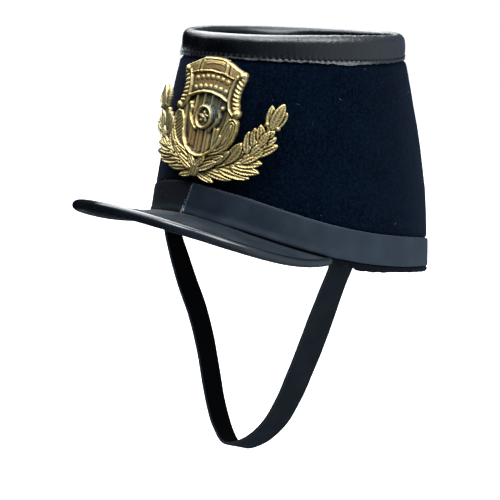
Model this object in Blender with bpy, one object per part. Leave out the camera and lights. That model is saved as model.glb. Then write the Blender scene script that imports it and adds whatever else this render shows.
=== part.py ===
"""Felt shako hat: crown, leather top and bands, bound peak, chin strap and cast badge.

The tables and sizes are millimetres; mesh_object() turns them into metres. +Z is up,
-Y is the wearer's front and +X the wearer's left. The origin is where the hat sits on
a head, level with the sides of the base, TOP millimetres under the flat top. Round the
hat, phi is 0 at the front and 90 degrees at the wearer's left.
"""
import bpy
import bmesh
import numpy as np
from math import asin, atan2, ceil, cos, hypot, pi, radians, sin
from mathutils import Matrix, Vector

MM = 0.001
TOP = 133.0
GAP = 0.3

# The crown is an oval that grows downwards: its reach at four sides, by depth.
CROWN_SECTIONS = (
    # depth, front, rear, half_width
    (0.0, 78.9, 66.4, 61.2),
    (40.0, 89.0, 84.6, 68.6),
    (80.0, 96.4, 99.0, 75.6),
    (120.0, 101.1, 104.1, 81.9),
    (175.0, 103.4, 101.9, 89.1),
)
CROWN_STATIONS = 52
CROWN_ROWS = 4
FELT = 2.8

# The base slopes down to the rear: depth of the base band's lower edge.
BASE_MEAN = 133.2
BASE_SLOPE = 30.5
BASE_WAVE = 2.9
FELT_BELOW_BAND = 4.4
BAND_HEIGHT = 18.0
BAND_LEATHER = 1.5
BAND_PINCH = 0.9
PINCH_RUN = 3.0
BAND_EDGE_ROUND = 0.5
BAND_LAP = radians(9)
BAND_LAP_EASE = radians(14)
BAND_STATIONS = 64

# The top band is rolled over the rim, from the outside to the recessed top.
ROLL_RADIUS = 3.85
ROLL_CENTRE = -2.35
ROLL_STEPS = 6
ROLL_LEATHER = 1.2
TOP_BAND_DROP = 13.3
TOP_RECESS = 8.5
TOP_LEATHER = 2.0
TOP_FLANGE = 1.6
WALL_TOP = 3.5
TOP_PINCH = 1.5

# The peak is a sheet from the felt's base to a bound edge, ruled between two curves.
PEAK_SPAN = radians(56)
PEAK_LEATHER = 2.2
PEAK_INNER_GAP = 0.6 - BAND_PINCH
PEAK_UNDER_BAND = 1.1
PEAK_EDGE = {"half_width": 69.4, "root_y": -58.3, "reach": 98.3, "reach_power": 0.53,
             "root_z": 12.6, "rise": 32.0, "rise_power": 0.83}
PEAK_STATIONS = 36
PEAK_ROWS = 5
BEAD_RADIUS = 2.9
BEAD_END_RADIUS = 2.2
BEAD_SIDES = 8
SLOT_CLEAR = 0.35

# The strap's left half, from its lowest point to its sewn end; the right half mirrors it.
STRAP_WIDTH = 21.5
STRAP_LEATHER = 1.8
STRAP_ROUTE = (
    # x, y, z, yaw, pitch of the width
    (0.0, -50.0, -130.0, 0.0, -27.0),
    (13.0, -46.0, -124.0, 0.0, -28.0),
    (24.0, -41.0, -110.5, 7.0, -19.0),
    (31.8, -38.0, -93.0, 10.0, -10.0),
    (38.3, -36.5, -73.5, 12.0, -4.0),
    (45.6, -37.0, -52.5, 13.5, 1.0),
    (53.6, -40.0, -31.0, 15.0, 4.0),
    (61.2, -43.8, -8.5, 20.0, 4.0),
    (65.6, -46.4, 7.0, 24.0, 2.0),
    (64.5, -46.1, 19.0, 24.6, 0.0),
    (62.2, -45.5, 32.0, 24.6, 0.0),
)
STRAP_STEPS = 4

# The badge is drawn flat, as distance round the crown and depth below the top.
BADGE_STAND = 2.4
BADGE_SHIFT = 2.6
BADGE_HALF_WIDTH = 44.0
BADGE_SIDE_LIFT = 4.6
SHIELD_PLATE = 2.8
SHIELD_RELIEF = 1.9
RELIEF_SUNK = 1.4
SHIELD_OUTLINE = (
    # across, depth of one half, from the top to the tip
    (0.0, 12.5),
    (6.0, 13.2),
    (13.0, 16.4),
    (19.8, 19.8),
    (18.6, 24.0),
    (17.9, 33.0),
    (20.4, 41.5),
    (19.2, 45.0),
    (19.8, 50.5),
    (17.2, 57.4),
    (12.2, 62.8),
    (6.0, 65.8),
    (0.0, 66.8),
)
FIELD_OUTLINE = (
    # across, depth of the fluted field's half
    (12.1, 34.6),
    (14.2, 43.0),
    (13.4, 52.0),
    (8.5, 59.5),
    (0.0, 62.8),
)
STEM = ((0.0, 74.0), (21.0, 79.0), (38.5, 64.0), (39.4, 40.5))
STEM_TAIL = (-7.5, 79.0)
STEM_HALF_WIDTH = 1.1
LEAF_LENGTH = 12.5
LEAF_HALF_WIDTH = 3.4
OUTER_SPREAD = (radians(16), radians(20))
INNER_SPREAD = radians(44)
OUTER_LEAVES = (0.03, 0.16, 0.29, 0.42, 0.55, 0.68, 0.80, 0.90)
INNER_LEAVES = (0.22, 0.36, 0.50, 0.63, 0.75, 0.86)
SCROLL_ENDS = ((18.2, 20.8), (18.4, 41.6))
SCROLL_RADIUS = 2.1
RIBBON_DEPTH = 16.8
RIBBON_RADIUS = 38.0
ARCH = (65.4, 34.5, -110.5, -69.5)
SHIELD_LEAVES = (
    # across, depth, heading off straight down
    (16.0, 48.0, 12.0),
    (14.4, 52.0, 28.0),
    (12.8, 56.0, 44.0),
    (11.2, 60.0, 60.0),
)
PELLETS = 7
PELLET_PITCH = 3.7
PELLET_ROWS = (23.4, 28.2)
ROW_SAG = 0.013
FLUTES = 5
FLUTE_PITCH = 4.6
FLUTE_ENDS = (33.0, 61.0)
RING_DEPTH = 44.6
RING_RADIUS = 4.4
SIDE_SCROLL_RADIUS = 7.4
PETALS = 5
PETAL_REACH = 2.0
TIP_LEAVES = ((-0.8, 9.4), (-0.3, 10.6), (0.15, 10.0))
TIP_BERRIES = (-1.0, 1.2)
BERRY_REACH = 3.2
POST_DEPTHS = (28.0, 72.0)
POST_RADIUS = 1.5


def table_value(rows, column, at):
    """Smooth curve through a column of a table whose first column rises."""
    keys = [row[0] for row in rows]
    values = [row[column] for row in rows]
    i = min(max(int(np.searchsorted(keys, at)) - 1, 0), len(keys) - 2)
    slopes = []
    for k in (i, i + 1):
        low, high = max(k - 1, 0), min(k + 1, len(keys) - 1)
        slopes.append((values[high] - values[low]) / (keys[high] - keys[low]))
    span = keys[i + 1] - keys[i]
    t = (at - keys[i]) / span
    ease = t * t * (3 - 2 * t)
    bend = slopes[0] * t * (1 - t) ** 2 - slopes[1] * t * t * (1 - t)
    return values[i] + (values[i + 1] - values[i]) * ease + span * bend


def wall(phi, depth, offset=0.0):
    """Point on the crown's outer face, moved outwards by offset."""
    front, rear, half = (table_value(CROWN_SECTIONS, c, depth) for c in (1, 2, 3))
    middle = (rear - front) / 2
    length = (rear + front) / 2
    return Vector(((half + offset) * sin(phi), middle - (length + offset) * cos(phi), TOP - depth))


def band_bottom(phi):
    return BASE_MEAN - BASE_SLOPE * cos(phi) - BASE_WAVE * cos(3 * phi)


def felt_edge(phi):
    return band_bottom(phi) + FELT_BELOW_BAND


def felt_rows(phi):
    """Depth, outer and inner offset down the felt, thinned and drawn in under the two bands."""
    band_top = band_bottom(phi) - BAND_HEIGHT
    start, end = TOP_BAND_DROP + PINCH_RUN, band_top - PINCH_RUN
    rows = [(WALL_TOP, 0.0, -FELT), (TOP_BAND_DROP, -TOP_PINCH, -FELT)]
    rows += [(start + (end - start) * row / CROWN_ROWS, 0.0, -FELT) for row in range(CROWN_ROWS + 1)]
    return rows + [(depth, -BAND_PINCH, -BAND_PINCH - FELT) for depth in (band_top, felt_edge(phi))]


def material(name, colour, roughness, metallic=0.0):
    mat = bpy.data.materials.new(name)
    mat.use_nodes = True
    shader = mat.node_tree.nodes["Principled BSDF"]
    shader.inputs["Base Color"].default_value = (*colour, 1.0)
    shader.inputs["Roughness"].default_value = roughness
    shader.inputs["Metallic"].default_value = metallic
    return mat


def mesh_object(name, points, faces, mat, scale=MM):
    """Object from millimetre points, its faces turned outwards."""
    bm = bmesh.new()
    verts = [bm.verts.new(p) for p in points]
    for face in faces:
        bm.faces.new([verts[i] for i in face])
    bmesh.ops.recalc_face_normals(bm, faces=bm.faces)
    bmesh.ops.scale(bm, vec=(scale, scale, scale), verts=bm.verts)
    mesh = bpy.data.meshes.new(name)
    bm.to_mesh(mesh)
    bm.free()
    mesh.materials.append(mat)
    obj = bpy.data.objects.new(name, mesh)
    bpy.context.scene.collection.objects.link(obj)
    return obj


def swept(sections, closed):
    """Points and faces of a solid through equal cross-sections, capped where open."""
    count, sides = len(sections), len(sections[0])
    points = [p for section in sections for p in section]
    faces = []
    for i in range(count if closed else count - 1):
        a, b = i * sides, (i + 1) % count * sides
        for k in range(sides):
            n = (k + 1) % sides
            faces.append((a + k, a + n, b + n, b + k))
    if not closed:
        faces.append(tuple(range(sides)))
        faces.append(tuple(range((count - 1) * sides, count * sides)))
    return points, faces


def round_the_crown(count):
    return [2 * pi * i / count for i in range(count)]


def build_crown_shell(mat):
    sections = []
    for phi in round_the_crown(CROWN_STATIONS):
        rows = felt_rows(phi)
        sections.append([wall(phi, depth, outer) for depth, outer, _ in rows]
                        + [wall(phi, depth, inner) for depth, _, inner in reversed(rows)])
    return mesh_object("crown_shell", *swept(sections, True), mat)


def build_crown_top(mat):
    """Leather disc set down in the crown, with a flange that stands against the felt."""
    outer = -FELT - GAP
    rings = ((0.0, TOP_RECESS + TOP_LEATHER), (outer, TOP_RECESS + TOP_LEATHER),
             (outer, WALL_TOP), (outer - TOP_FLANGE, WALL_TOP),
             (outer - TOP_FLANGE, TOP_RECESS), (0.0, TOP_RECESS))
    stations = round_the_crown(CROWN_STATIONS)
    points = [wall(phi, depth, offset) for offset, depth in rings[1:-1] for phi in stations]
    centre = len(points)
    for _, depth in (rings[0], rings[-1]):
        points.append((wall(0.0, depth) + wall(pi, depth)) / 2)
    faces = []
    last = (len(rings) - 3) * CROWN_STATIONS
    for i in range(CROWN_STATIONS):
        n = (i + 1) % CROWN_STATIONS
        faces.append((centre, i, n))
        faces.append((centre + 1, last + n, last + i))
        for ring in range(len(rings) - 3):
            a, b = ring * CROWN_STATIONS, (ring + 1) * CROWN_STATIONS
            faces.append((a + i, a + n, b + n, b + i))
    return mesh_object("crown_top", points, faces, mat)


def build_top_band(mat):
    """Leather rolled over the rim: an outer and an inner leaf joined by a round crest."""
    thin = ROLL_RADIUS - ROLL_LEATHER
    steps = [pi * k / ROLL_STEPS for k in range(ROLL_STEPS + 1)]
    profile = [(ROLL_CENTRE + ROLL_RADIUS - TOP_PINCH, TOP_BAND_DROP)]
    profile += [(ROLL_CENTRE + ROLL_RADIUS * cos(a), ROLL_RADIUS * (1 - sin(a))) for a in steps]
    profile += [(ROLL_CENTRE - ROLL_RADIUS, TOP_RECESS - GAP), (ROLL_CENTRE - thin, TOP_RECESS - GAP)]
    profile += [(ROLL_CENTRE - thin * cos(a), ROLL_RADIUS - thin * sin(a)) for a in steps[::2]]
    profile += [(ROLL_CENTRE + thin - TOP_PINCH, TOP_BAND_DROP)]
    sections = [[wall(phi, depth, offset) for offset, depth in profile]
                for phi in round_the_crown(CROWN_STATIONS)]
    return mesh_object("top_band", *swept(sections, True), mat)


def build_base_band(mat):
    """Leather strip once round the base; its end laps over its start at the front."""
    sections = []
    for i in range(BAND_STATIONS + 1):
        phi = (2 * pi + BAND_LAP) * i / BAND_STATIONS
        settled = min(max((phi - BAND_LAP - radians(3)) / BAND_LAP_EASE, 0.0), 1.0)
        lift = (BAND_LEATHER + GAP) * (1 - settled * settled * (3 - 2 * settled))
        inner = GAP - BAND_PINCH + lift
        outer = inner + BAND_LEATHER
        bottom = band_bottom(phi)
        top = bottom - BAND_HEIGHT
        profile = ((inner, bottom), (outer - BAND_EDGE_ROUND, bottom), (outer, bottom - BAND_EDGE_ROUND),
                   (outer, top + BAND_EDGE_ROUND), (outer - BAND_EDGE_ROUND, top), (inner, top))
        sections.append([wall(phi, depth, offset) for offset, depth in profile])
    return mesh_object("base_band", *swept(sections, False), mat)


def peak_edge(theta):
    """Centre of the bound edge, theta from -90 to 90 degrees, 0 at the tip."""
    edge = PEAK_EDGE
    ahead = abs(cos(theta))
    return Vector((edge["half_width"] * sin(theta),
                   edge["root_y"] - edge["reach"] * ahead ** edge["reach_power"],
                   edge["root_z"] + edge["rise"] * ahead ** edge["rise_power"]))


def peak_root(share):
    """Middle of the sheet where it meets the felt, under the base band; share from -1 to 1."""
    phi = PEAK_SPAN * share
    depth = band_bottom(phi) + PEAK_UNDER_BAND + PEAK_LEATHER / 2
    return wall(phi, depth, PEAK_INNER_GAP)


def peak_rulings():
    """Root, edge, inward and upward directions and edge angle, evenly along the edge."""
    fine = np.linspace(-pi / 2, pi / 2, 721)
    edge = np.array([peak_edge(theta) for theta in fine])
    run = np.r_[0, np.cumsum(np.linalg.norm(np.diff(edge, axis=0), axis=1))]
    thetas = np.interp(np.linspace(0, run[-1], PEAK_STATIONS + 1), run, fine)
    centres = [peak_edge(theta) for theta in thetas]
    rulings = []
    for i, centre in enumerate(centres):
        root = peak_root(2 * i / PEAK_STATIONS - 1)
        ahead = (centres[min(i + 1, PEAK_STATIONS)] - centres[max(i - 1, 0)]).normalized()
        inward = root - centre
        inward = (inward - ahead * inward.dot(ahead)).normalized()
        rulings.append((root, centre, inward, ahead.cross(inward), thetas[i]))
    return rulings


def build_peak(mat):
    sections = []
    for root, centre, inward, up, _ in peak_rulings()[1:-1]:
        edge = centre + inward * 2 * SLOT_CLEAR
        line = [root.lerp(edge, row / PEAK_ROWS) for row in range(PEAK_ROWS + 1)]
        half = up * PEAK_LEATHER / 2
        sections.append([p + half for p in line] + [p - half for p in reversed(line)])
    return mesh_object("peak", *swept(sections, False), mat)


def build_peak_binding(mat):
    """Leather bead with a slot that takes the edge of the sheet."""
    sections = []
    for _, centre, inward, up, theta in peak_rulings():
        radius = BEAD_END_RADIUS + (BEAD_RADIUS - BEAD_END_RADIUS) * max(cos(theta), 0.0) ** 0.5
        slot = PEAK_LEATHER / 2 + SLOT_CLEAR
        lip = asin(slot / radius)
        angles = [lip + (2 * pi - 2 * lip) * k / BEAD_SIDES for k in range(BEAD_SIDES + 1)]
        ring = [(radius * cos(a), radius * sin(a)) for a in angles]
        ring += [(0.0, -slot), (0.0, slot)]
        sections.append([centre + inward * x + up * y for x, y in ring])
    return mesh_object("peak_binding", *swept(sections, False), mat)


def build_chin_strap(mat):
    """Flat strap hanging in a loop between its two ends, which lie inside the felt."""
    rows = [(-i, -x, y, z, -yaw, pitch) for i, (x, y, z, yaw, pitch) in enumerate(STRAP_ROUTE)][:0:-1]
    rows += [(i, x, y, z, yaw, pitch) for i, (x, y, z, yaw, pitch) in enumerate(STRAP_ROUTE)]
    last = len(STRAP_ROUTE) - 1
    count = 2 * last * STRAP_STEPS
    stations = [last * (2 * i / count - 1) for i in range(count + 1)]
    centres = [Vector([table_value(rows, c, at) for c in (1, 2, 3)]) for at in stations]
    sections = []
    for i, at in enumerate(stations):
        yaw, pitch = (radians(table_value(rows, c, at)) for c in (4, 5))
        across = Vector((sin(yaw) * cos(pitch), cos(yaw) * cos(pitch), sin(pitch)))
        along = centres[min(i + 1, count)] - centres[max(i - 1, 0)]
        across = (across - along * (across.dot(along) / along.length_squared)).normalized()
        out = along.cross(across).normalized()
        corners = ((-1, -1), (1, -1), (1, 1), (-1, 1))
        sections.append([centres[i] + across * (a * STRAP_WIDTH / 2) + out * (b * STRAP_LEATHER / 2)
                         for a, b in corners])
    return mesh_object("chin_strap", *swept(sections, False), mat)


def badge_point(across, depth, out):
    """Point of the flat badge drawing on the front of the crown, bent less than the crown is."""
    out += BADGE_STAND + BADGE_SIDE_LIFT * (across / BADGE_HALF_WIDTH) ** 2
    across += BADGE_SHIFT
    angles = np.radians(np.arange(0, 76, 3))
    line = np.array([wall(float(a), depth, BADGE_STAND) for a in angles])
    run = np.r_[0, np.cumsum(np.linalg.norm(np.diff(line, axis=0), axis=1))]
    phi = float(np.interp(abs(across), run, angles))
    return wall(phi if across > 0 else -phi, depth, out)


def badge_piece(points, faces, pieces, mat):
    """Closed flat-drawn solid, wrapped round the crown and kept for the union."""
    wrapped = [badge_point(*p) for p in points]
    pieces.append(mesh_object(f"badge_piece_{len(pieces)}", wrapped, faces, mat, scale=1.0))


def plate(outline, low, high, pieces, mat, step=8.0):
    """Flat plate between two heights, cut into strips so that it bends with the crown."""
    mirrored = [(-x, y) for x, y in reversed(outline) if x > 0]
    ring = [p for p in outline] + mirrored
    bm = bmesh.new()
    face = bm.faces.new([bm.verts.new((x, y, low)) for x, y in ring])
    lifted = bmesh.ops.extrude_face_region(bm, geom=[face])
    for vert in (v for v in lifted["geom"] if isinstance(v, bmesh.types.BMVert)):
        vert.co.z = high
    reach = max(x for x, _ in outline)
    cuts = ceil(reach / step)
    for k in range(1 - cuts, cuts):
        geom = bm.verts[:] + bm.edges[:] + bm.faces[:]
        bmesh.ops.bisect_plane(bm, geom=geom, dist=0.01, plane_co=(k * step, 0, 0), plane_no=(1, 0, 0))
    bmesh.ops.triangulate(bm, faces=bm.faces[:])
    bm.verts.index_update()
    points = [tuple(v.co) for v in bm.verts]
    faces = [tuple(v.index for v in f.verts) for f in bm.faces]
    bm.free()
    badge_piece(points, faces, pieces, mat)


def rib(line, half_width, low, high, pieces, mat, closed=False):
    """Ridge with sloping sides along a line of the drawing."""
    sections = []
    count = len(line)
    for i, (x, y) in enumerate(line):
        before = line[i - 1] if closed or i else line[0]
        after = line[(i + 1) % count] if closed or i < count - 1 else line[-1]
        dx, dy = after[0] - before[0], after[1] - before[1]
        size = hypot(dx, dy)
        nx, ny = -dy / size * half_width, dx / size * half_width
        sections.append([(x - nx, y - ny, low), (x + nx, y + ny, low),
                         (x + nx * 0.45, y + ny * 0.45, high), (x - nx * 0.45, y - ny * 0.45, high)])
    badge_piece(*swept(sections, closed), pieces, mat)


def dome(x, y, radius, low, high, pieces, mat, sides=5):
    """Small pellet with a flat top."""
    sections = [[(x + size * cos(2 * pi * k / sides), y + size * sin(2 * pi * k / sides), out)
                 for k in range(sides)] for size, out in ((radius, low), (radius * 0.55, high))]
    badge_piece(*swept(sections, False), pieces, mat)


def leaf(x, y, heading, length, half_width, low, high, pieces, mat):
    """Pointed leaf with a raised middle rib, from its root along a heading."""
    sections = []
    for share, width, rise in ((0.0, 0.3, 0.8), (0.42, 1.0, 1.0), (1.0, 0.12, 0.3)):
        cx, cy = x + cos(heading) * length * share, y + sin(heading) * length * share
        nx, ny = -sin(heading) * half_width * width, cos(heading) * half_width * width
        sections.append([(cx - nx, cy - ny, low), (cx + nx, cy + ny, low),
                         (cx, cy, low + (high - low) * rise)])
    badge_piece(*swept(sections, False), pieces, mat)


def stem_point(t):
    """Point and heading on the right branch's stem."""
    weights = ((1 - t) ** 3, 3 * t * (1 - t) ** 2, 3 * t * t * (1 - t), t ** 3)
    x, y = (sum(w * p[c] for w, p in zip(weights, STEM)) for c in (0, 1))
    slopes = (3 * (1 - t) ** 2, 6 * t * (1 - t), 3 * t * t)
    dx, dy = (sum(w * (STEM[k + 1][c] - STEM[k][c]) for k, w in enumerate(slopes)) for c in (0, 1))
    return x, y, atan2(dy, dx)


def wreath_branch(side, pieces, mat):
    """One laurel branch; side is 1 on the wearer's left and -1 on the right."""
    def add_leaf(x, y, heading, length, lift):
        heading = heading if side > 0 else pi - heading
        leaf(side * x, y, heading, length, LEAF_HALF_WIDTH, lift, lift + 2.8, pieces, mat)

    stem = [STEM_TAIL] + [stem_point(k / 8)[:2] for k in range(9)]
    rib([(side * x, y) for x, y in stem], STEM_HALF_WIDTH, 0.4 if side > 0 else 0.1, 2.6, pieces, mat)
    for k, t in enumerate(OUTER_LEAVES):
        x, y, heading = stem_point(t)
        spread = OUTER_SPREAD[0] + (OUTER_SPREAD[1] - OUTER_SPREAD[0]) * t
        add_leaf(x, y, heading + spread, LEAF_LENGTH, 0.15 + 0.25 * (k % 2))
    for k, t in enumerate(INNER_LEAVES):
        x, y, heading = stem_point(t)
        add_leaf(x, y, heading - INNER_SPREAD, LEAF_LENGTH, 0.4 + 0.25 * (k % 2))
    x, y, heading = stem_point(0.94)
    for turn, length in TIP_LEAVES:
        add_leaf(x, y, heading + turn, length, 0.3)
    for turn in TIP_BERRIES:
        across, depth = x + BERRY_REACH * cos(heading + turn), y + BERRY_REACH * sin(heading + turn)
        dome(side * across, depth, 1.2, 0.3, 2.6, pieces, mat)


def arc_line(x, y, radius, start, end, steps):
    angles = [radians(start + (end - start) * k / steps) for k in range(steps + 1)]
    return [(x + radius * cos(a), y + radius * sin(a)) for a in angles]


def shield(pieces, mat):
    """Cartouche: plain scroll, two rows of pellets, fluted field and a rosette in a ring."""
    face, crest, sunk = SHIELD_PLATE, SHIELD_PLATE + SHIELD_RELIEF, SHIELD_PLATE - RELIEF_SUNK
    plate(SHIELD_OUTLINE, 0.0, face, pieces, mat)
    for side in (1, -1):
        edge = [(side * x * 0.94, y * 0.99) for x, y in SHIELD_OUTLINE[3:-1]] + [(0.0, 66.0)]
        rib(edge, 1.3, sunk, crest, pieces, mat)
        rib([(side * x, y) for x, y in FIELD_OUTLINE], 0.8, sunk, crest - 0.6, pieces, mat)
        for x, y in SCROLL_ENDS:
            dome(side * x, y, SCROLL_RADIUS, sunk, crest + 0.2, pieces, mat, 8)
        scroll = arc_line(side * 2.4, RING_DEPTH + 1.0, SIDE_SCROLL_RADIUS, 90 - side * 30, 90 - side * 150, 6)
        rib(scroll, 0.9, sunk, crest - 0.2, pieces, mat)
        for x, y, heading in SHIELD_LEAVES:
            leaf(side * x, y, radians(90 + side * heading), 8.0, 2.0, sunk, crest - 0.1, pieces, mat)
    ribbon = [(x, RIBBON_DEPTH + x * x / (2 * RIBBON_RADIUS)) for x in (-17, -8, 0, 8, 17)]
    rib(ribbon, 2.0, sunk, crest - 0.5, pieces, mat)
    rib(arc_line(0.0, *ARCH, 6), 1.0, sunk, crest - 0.3, pieces, mat)
    for depth in PELLET_ROWS:
        for k in range(PELLETS):
            across = (k - (PELLETS - 1) / 2) * PELLET_PITCH
            dome(across, depth + ROW_SAG * across * across, 1.2, sunk, crest - 0.6, pieces, mat)
    for k in range(FLUTES):
        across = (k - (FLUTES - 1) / 2) * FLUTE_PITCH
        ends = [(across, FLUTE_ENDS[0] + 0.02 * across * across), (across, FLUTE_ENDS[1] - 0.08 * across * across)]
        rib(ends, 1.3, sunk, face + 0.7, pieces, mat)
    rib(arc_line(0.0, RING_DEPTH, RING_RADIUS, 0, 330, 11), 0.8, sunk, crest + 0.3, pieces, mat, closed=True)
    for k in range(PETALS):
        angle = 2 * pi * k / PETALS - pi / 2
        petal = (PETAL_REACH * cos(angle), RING_DEPTH + PETAL_REACH * sin(angle))
        dome(*petal, 1.1, sunk, crest - 0.1, pieces, mat)


def build_badge(mat):
    """One casting: both branches, the tie, the shield and two short posts behind."""
    pieces = []
    shield(pieces, mat)
    for side in (1, -1):
        wreath_branch(side, pieces, mat)
    for k in (-1, 0, 1):
        rib([(1.7 * k, 65.0), (2.2 * k, 76.0)], 1.3, 0.2, 3.6, pieces, mat)
    for depth in POST_DEPTHS:
        sections = [[(POST_RADIUS * cos(2 * pi * k / 8), depth + POST_RADIUS * sin(2 * pi * k / 8), out)
                     for k in range(8)] for out in (GAP - BADGE_STAND, 1.6)]
        badge_piece(*swept(sections, False), pieces, mat)

    casting = pieces[0]
    for piece in pieces[1:]:
        union = casting.modifiers.new(piece.name, "BOOLEAN")
        union.operation = "UNION"
        union.solver = "MANIFOLD"
        union.object = piece
    merged = bpy.data.meshes.new_from_object(casting.evaluated_get(bpy.context.evaluated_depsgraph_get()))
    for piece in pieces:
        bpy.data.objects.remove(piece)
    merged.transform(Matrix.Scale(MM, 4))
    merged.name = "badge"
    badge = bpy.data.objects.new("badge", merged)
    bpy.context.scene.collection.objects.link(badge)
    return badge


def main():
    for obj in list(bpy.data.objects):
        bpy.data.objects.remove(obj)
    felt = material("navy_felt", (0.006, 0.007, 0.013), 0.95)
    glossy = material("glossy_black_leather", (0.010, 0.011, 0.014), 0.28)
    satin = material("satin_black_leather", (0.026, 0.032, 0.040), 0.5)
    strap = material("matte_strap_leather", (0.012, 0.015, 0.020), 0.7)
    brass = material("antique_brass", (0.42, 0.32, 0.14), 0.35, 1.0)
    smooth = [
        build_crown_shell(felt),
        build_crown_top(glossy),
        build_top_band(glossy),
        build_base_band(satin),
        build_peak(satin),
        build_peak_binding(satin),
        build_chin_strap(strap),
    ]
    build_badge(brass)
    for obj in smooth:
        obj.data.shade_smooth()
        obj.data.set_sharp_from_angle(angle=radians(35))


main()
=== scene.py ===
"""The dressed shako hat: felt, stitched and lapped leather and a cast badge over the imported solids.

Shapes are worked out in millimetres and turned into metres by mesh_piece(). As in the solids,
+Z is up, -Y is the wearer's front and +X the wearer's left. Round the hat, phi is 0 at the
front and grows towards the wearer's left; depth is measured down from the flat top. Tables give
places round the hat in degrees from the front, below zero at the wearer's right.
"""

import bpy
import bmesh
import numpy as np
from math import cos, pi, radians, sin
from mathutils import Matrix, Vector, noise

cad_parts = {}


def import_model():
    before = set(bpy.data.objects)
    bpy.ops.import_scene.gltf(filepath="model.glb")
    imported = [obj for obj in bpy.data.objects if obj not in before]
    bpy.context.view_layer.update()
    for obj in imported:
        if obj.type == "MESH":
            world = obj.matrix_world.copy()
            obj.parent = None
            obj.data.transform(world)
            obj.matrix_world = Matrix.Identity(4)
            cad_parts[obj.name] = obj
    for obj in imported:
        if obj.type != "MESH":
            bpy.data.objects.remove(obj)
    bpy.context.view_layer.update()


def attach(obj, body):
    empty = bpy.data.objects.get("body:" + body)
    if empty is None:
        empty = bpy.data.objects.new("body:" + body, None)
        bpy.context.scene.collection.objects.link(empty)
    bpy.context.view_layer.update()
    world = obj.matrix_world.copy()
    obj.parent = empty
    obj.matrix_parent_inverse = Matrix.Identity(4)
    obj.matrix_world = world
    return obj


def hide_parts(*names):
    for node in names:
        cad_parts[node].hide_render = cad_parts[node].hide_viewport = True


MM = 0.001
UP = np.array([0.0, 0.0, 1.0])
TOP = 133.0
GAP = 0.3

# ---------------- sizes shared with the solids

CROWN_SECTIONS = (
    # depth, front, rear, half_width
    (0.0, 78.9, 66.4, 61.2),
    (40.0, 89.0, 84.6, 68.6),
    (80.0, 96.4, 99.0, 75.6),
    (120.0, 101.1, 104.1, 81.9),
    (175.0, 103.4, 101.9, 89.1),
)
FELT = 2.8
WALL_TOP = 3.5
BASE_MEAN = 133.2
BASE_SLOPE = 30.5
BASE_WAVE = 2.9
FELT_BELOW_BAND = 4.4
BAND_HEIGHT = 18.0
BAND_LEATHER = 1.5
BAND_PINCH = 0.9
PINCH_RUN = 3.0
BAND_LAP = radians(9)
BAND_LAP_EASE = radians(14)

ROLL_RADIUS = 3.85
ROLL_CENTRE = -2.35
ROLL_LEATHER = 1.2
TOP_BAND_DROP = 13.3
TOP_RECESS = 8.5
TOP_LEATHER = 2.0
TOP_FLANGE = 1.6
TOP_PINCH = 1.5

PEAK_SPAN = radians(56)
PEAK_LEATHER = 2.2
PEAK_INNER_GAP = 0.6 - BAND_PINCH
PEAK_UNDER_BAND = 1.1
PEAK_EDGE = {"half_width": 69.4, "root_y": -58.3, "reach": 98.3, "reach_power": 0.53,
             "root_z": 12.6, "rise": 32.0, "rise_power": 0.83}
BEAD_RADIUS = 2.9
BEAD_END_RADIUS = 2.2

STRAP_LEATHER = 1.8
STRAP_ROUTE = (
    # x, y, z, yaw, pitch of the width, width, from the lowest point to the sewn end
    (0.0, -50.0, -130.0, 0.0, -27.0, 22.6),
    (13.0, -46.0, -124.0, 0.0, -28.0, 22.6),
    (24.0, -41.0, -110.5, 7.0, -19.0, 22.4),
    (31.8, -38.0, -93.0, 10.0, -10.0, 22.2),
    (38.3, -36.5, -73.5, 12.0, -4.0, 22.2),
    (45.6, -37.0, -52.5, 13.5, 1.0, 22.2),
    (53.6, -40.0, -31.0, 14.0, 4.0, 21.8),
    (61.6, -42.2, -8.5, 15.0, 4.0, 20.4),
    (66.6, -42.4, 7.0, 17.0, 2.0, 19.2),
    (65.8, -41.6, 19.0, 22.0, 0.0, 19.0),
    (63.6, -41.0, 32.0, 22.0, 0.0, 19.0),
)

# ---------------- wear and lie of the materials

# Bell curves round the hat: height, place, width
SAG = ((2.3, -48.0, 34.0), (0.95, 92.0, 36.0))
STITCH_DIP = (0.55, 46.0, 24.0)
RIM_EDGE_DIP = (0.75, 65.0, 13.0)
SWELL_LEFT_FRONT = (1.55, 65.0, 36.0)
SWELL_LEFT_REAR = (1.5, 0.0, 42.0)
LEAN_RIGHT_REAR = (2.7, -127.0, 20.0)
LEAN_REAR = (1.2, 0.0, 27.0)
FELT_DIP = (1.3, 68.0, 11.0)
FELT_FULL = (0.9, 95.0, 34.0)
HEM_FULL = (1.0, 98.0, 38.0)
BAND_FULL = (1.1, 95.0, 36.0)
SCUFF = (1.0, -42.0, 14.0)

# Soft lumps: pitch, height, octaves, seed
FELT_TEARS = ((6.0, 0.30, 3, 0.0), (1.2, 0.14, 2, 7.0))
FELT_TUFTS = (2.2, 2.6, 3, 3.0)
FELT_NAP = ((3.2, 0.10, 2, 0.0), (26.0, 0.22, 2, 5.0))
HEM_LUMPS = (1.5, 0.28, 2, 9.0)
TOP_SLACK = (24.0, 0.35, 2, 0.0)
RIM_TEARS = (4.0, 0.55, 3, 2.0)
RIM_WRINKLES = (1.3, 0.30, 2, 7.0)
RIM_FRINGE = (1.9, 0.36, 3, 4.0)
RIM_RAW_PATCHES = (2.0, 0.5, 2, 0.0)
ROLL_GRAIN = (1.5, 0.09, 2, 9.0)
ROLL_WAVES = (14.0, 0.12, 2, 3.0)
LONG_CREASES = (3.4, 1.0, 2, 6.0)
UPRIGHT_CREASES = (1.8, 1.0, 2, 8.0)
BAND_RIPPLES = (18.0, 0.16, 2, 0.0)
BAND_EDGE_WAVES = (9.0, 1.0, 2, 1.5)
PEAK_WAVES = (22.0, 0.22, 2, 0.0)
BEAD_WAVES = (9.0, 0.02, 2, 0.0)
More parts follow.
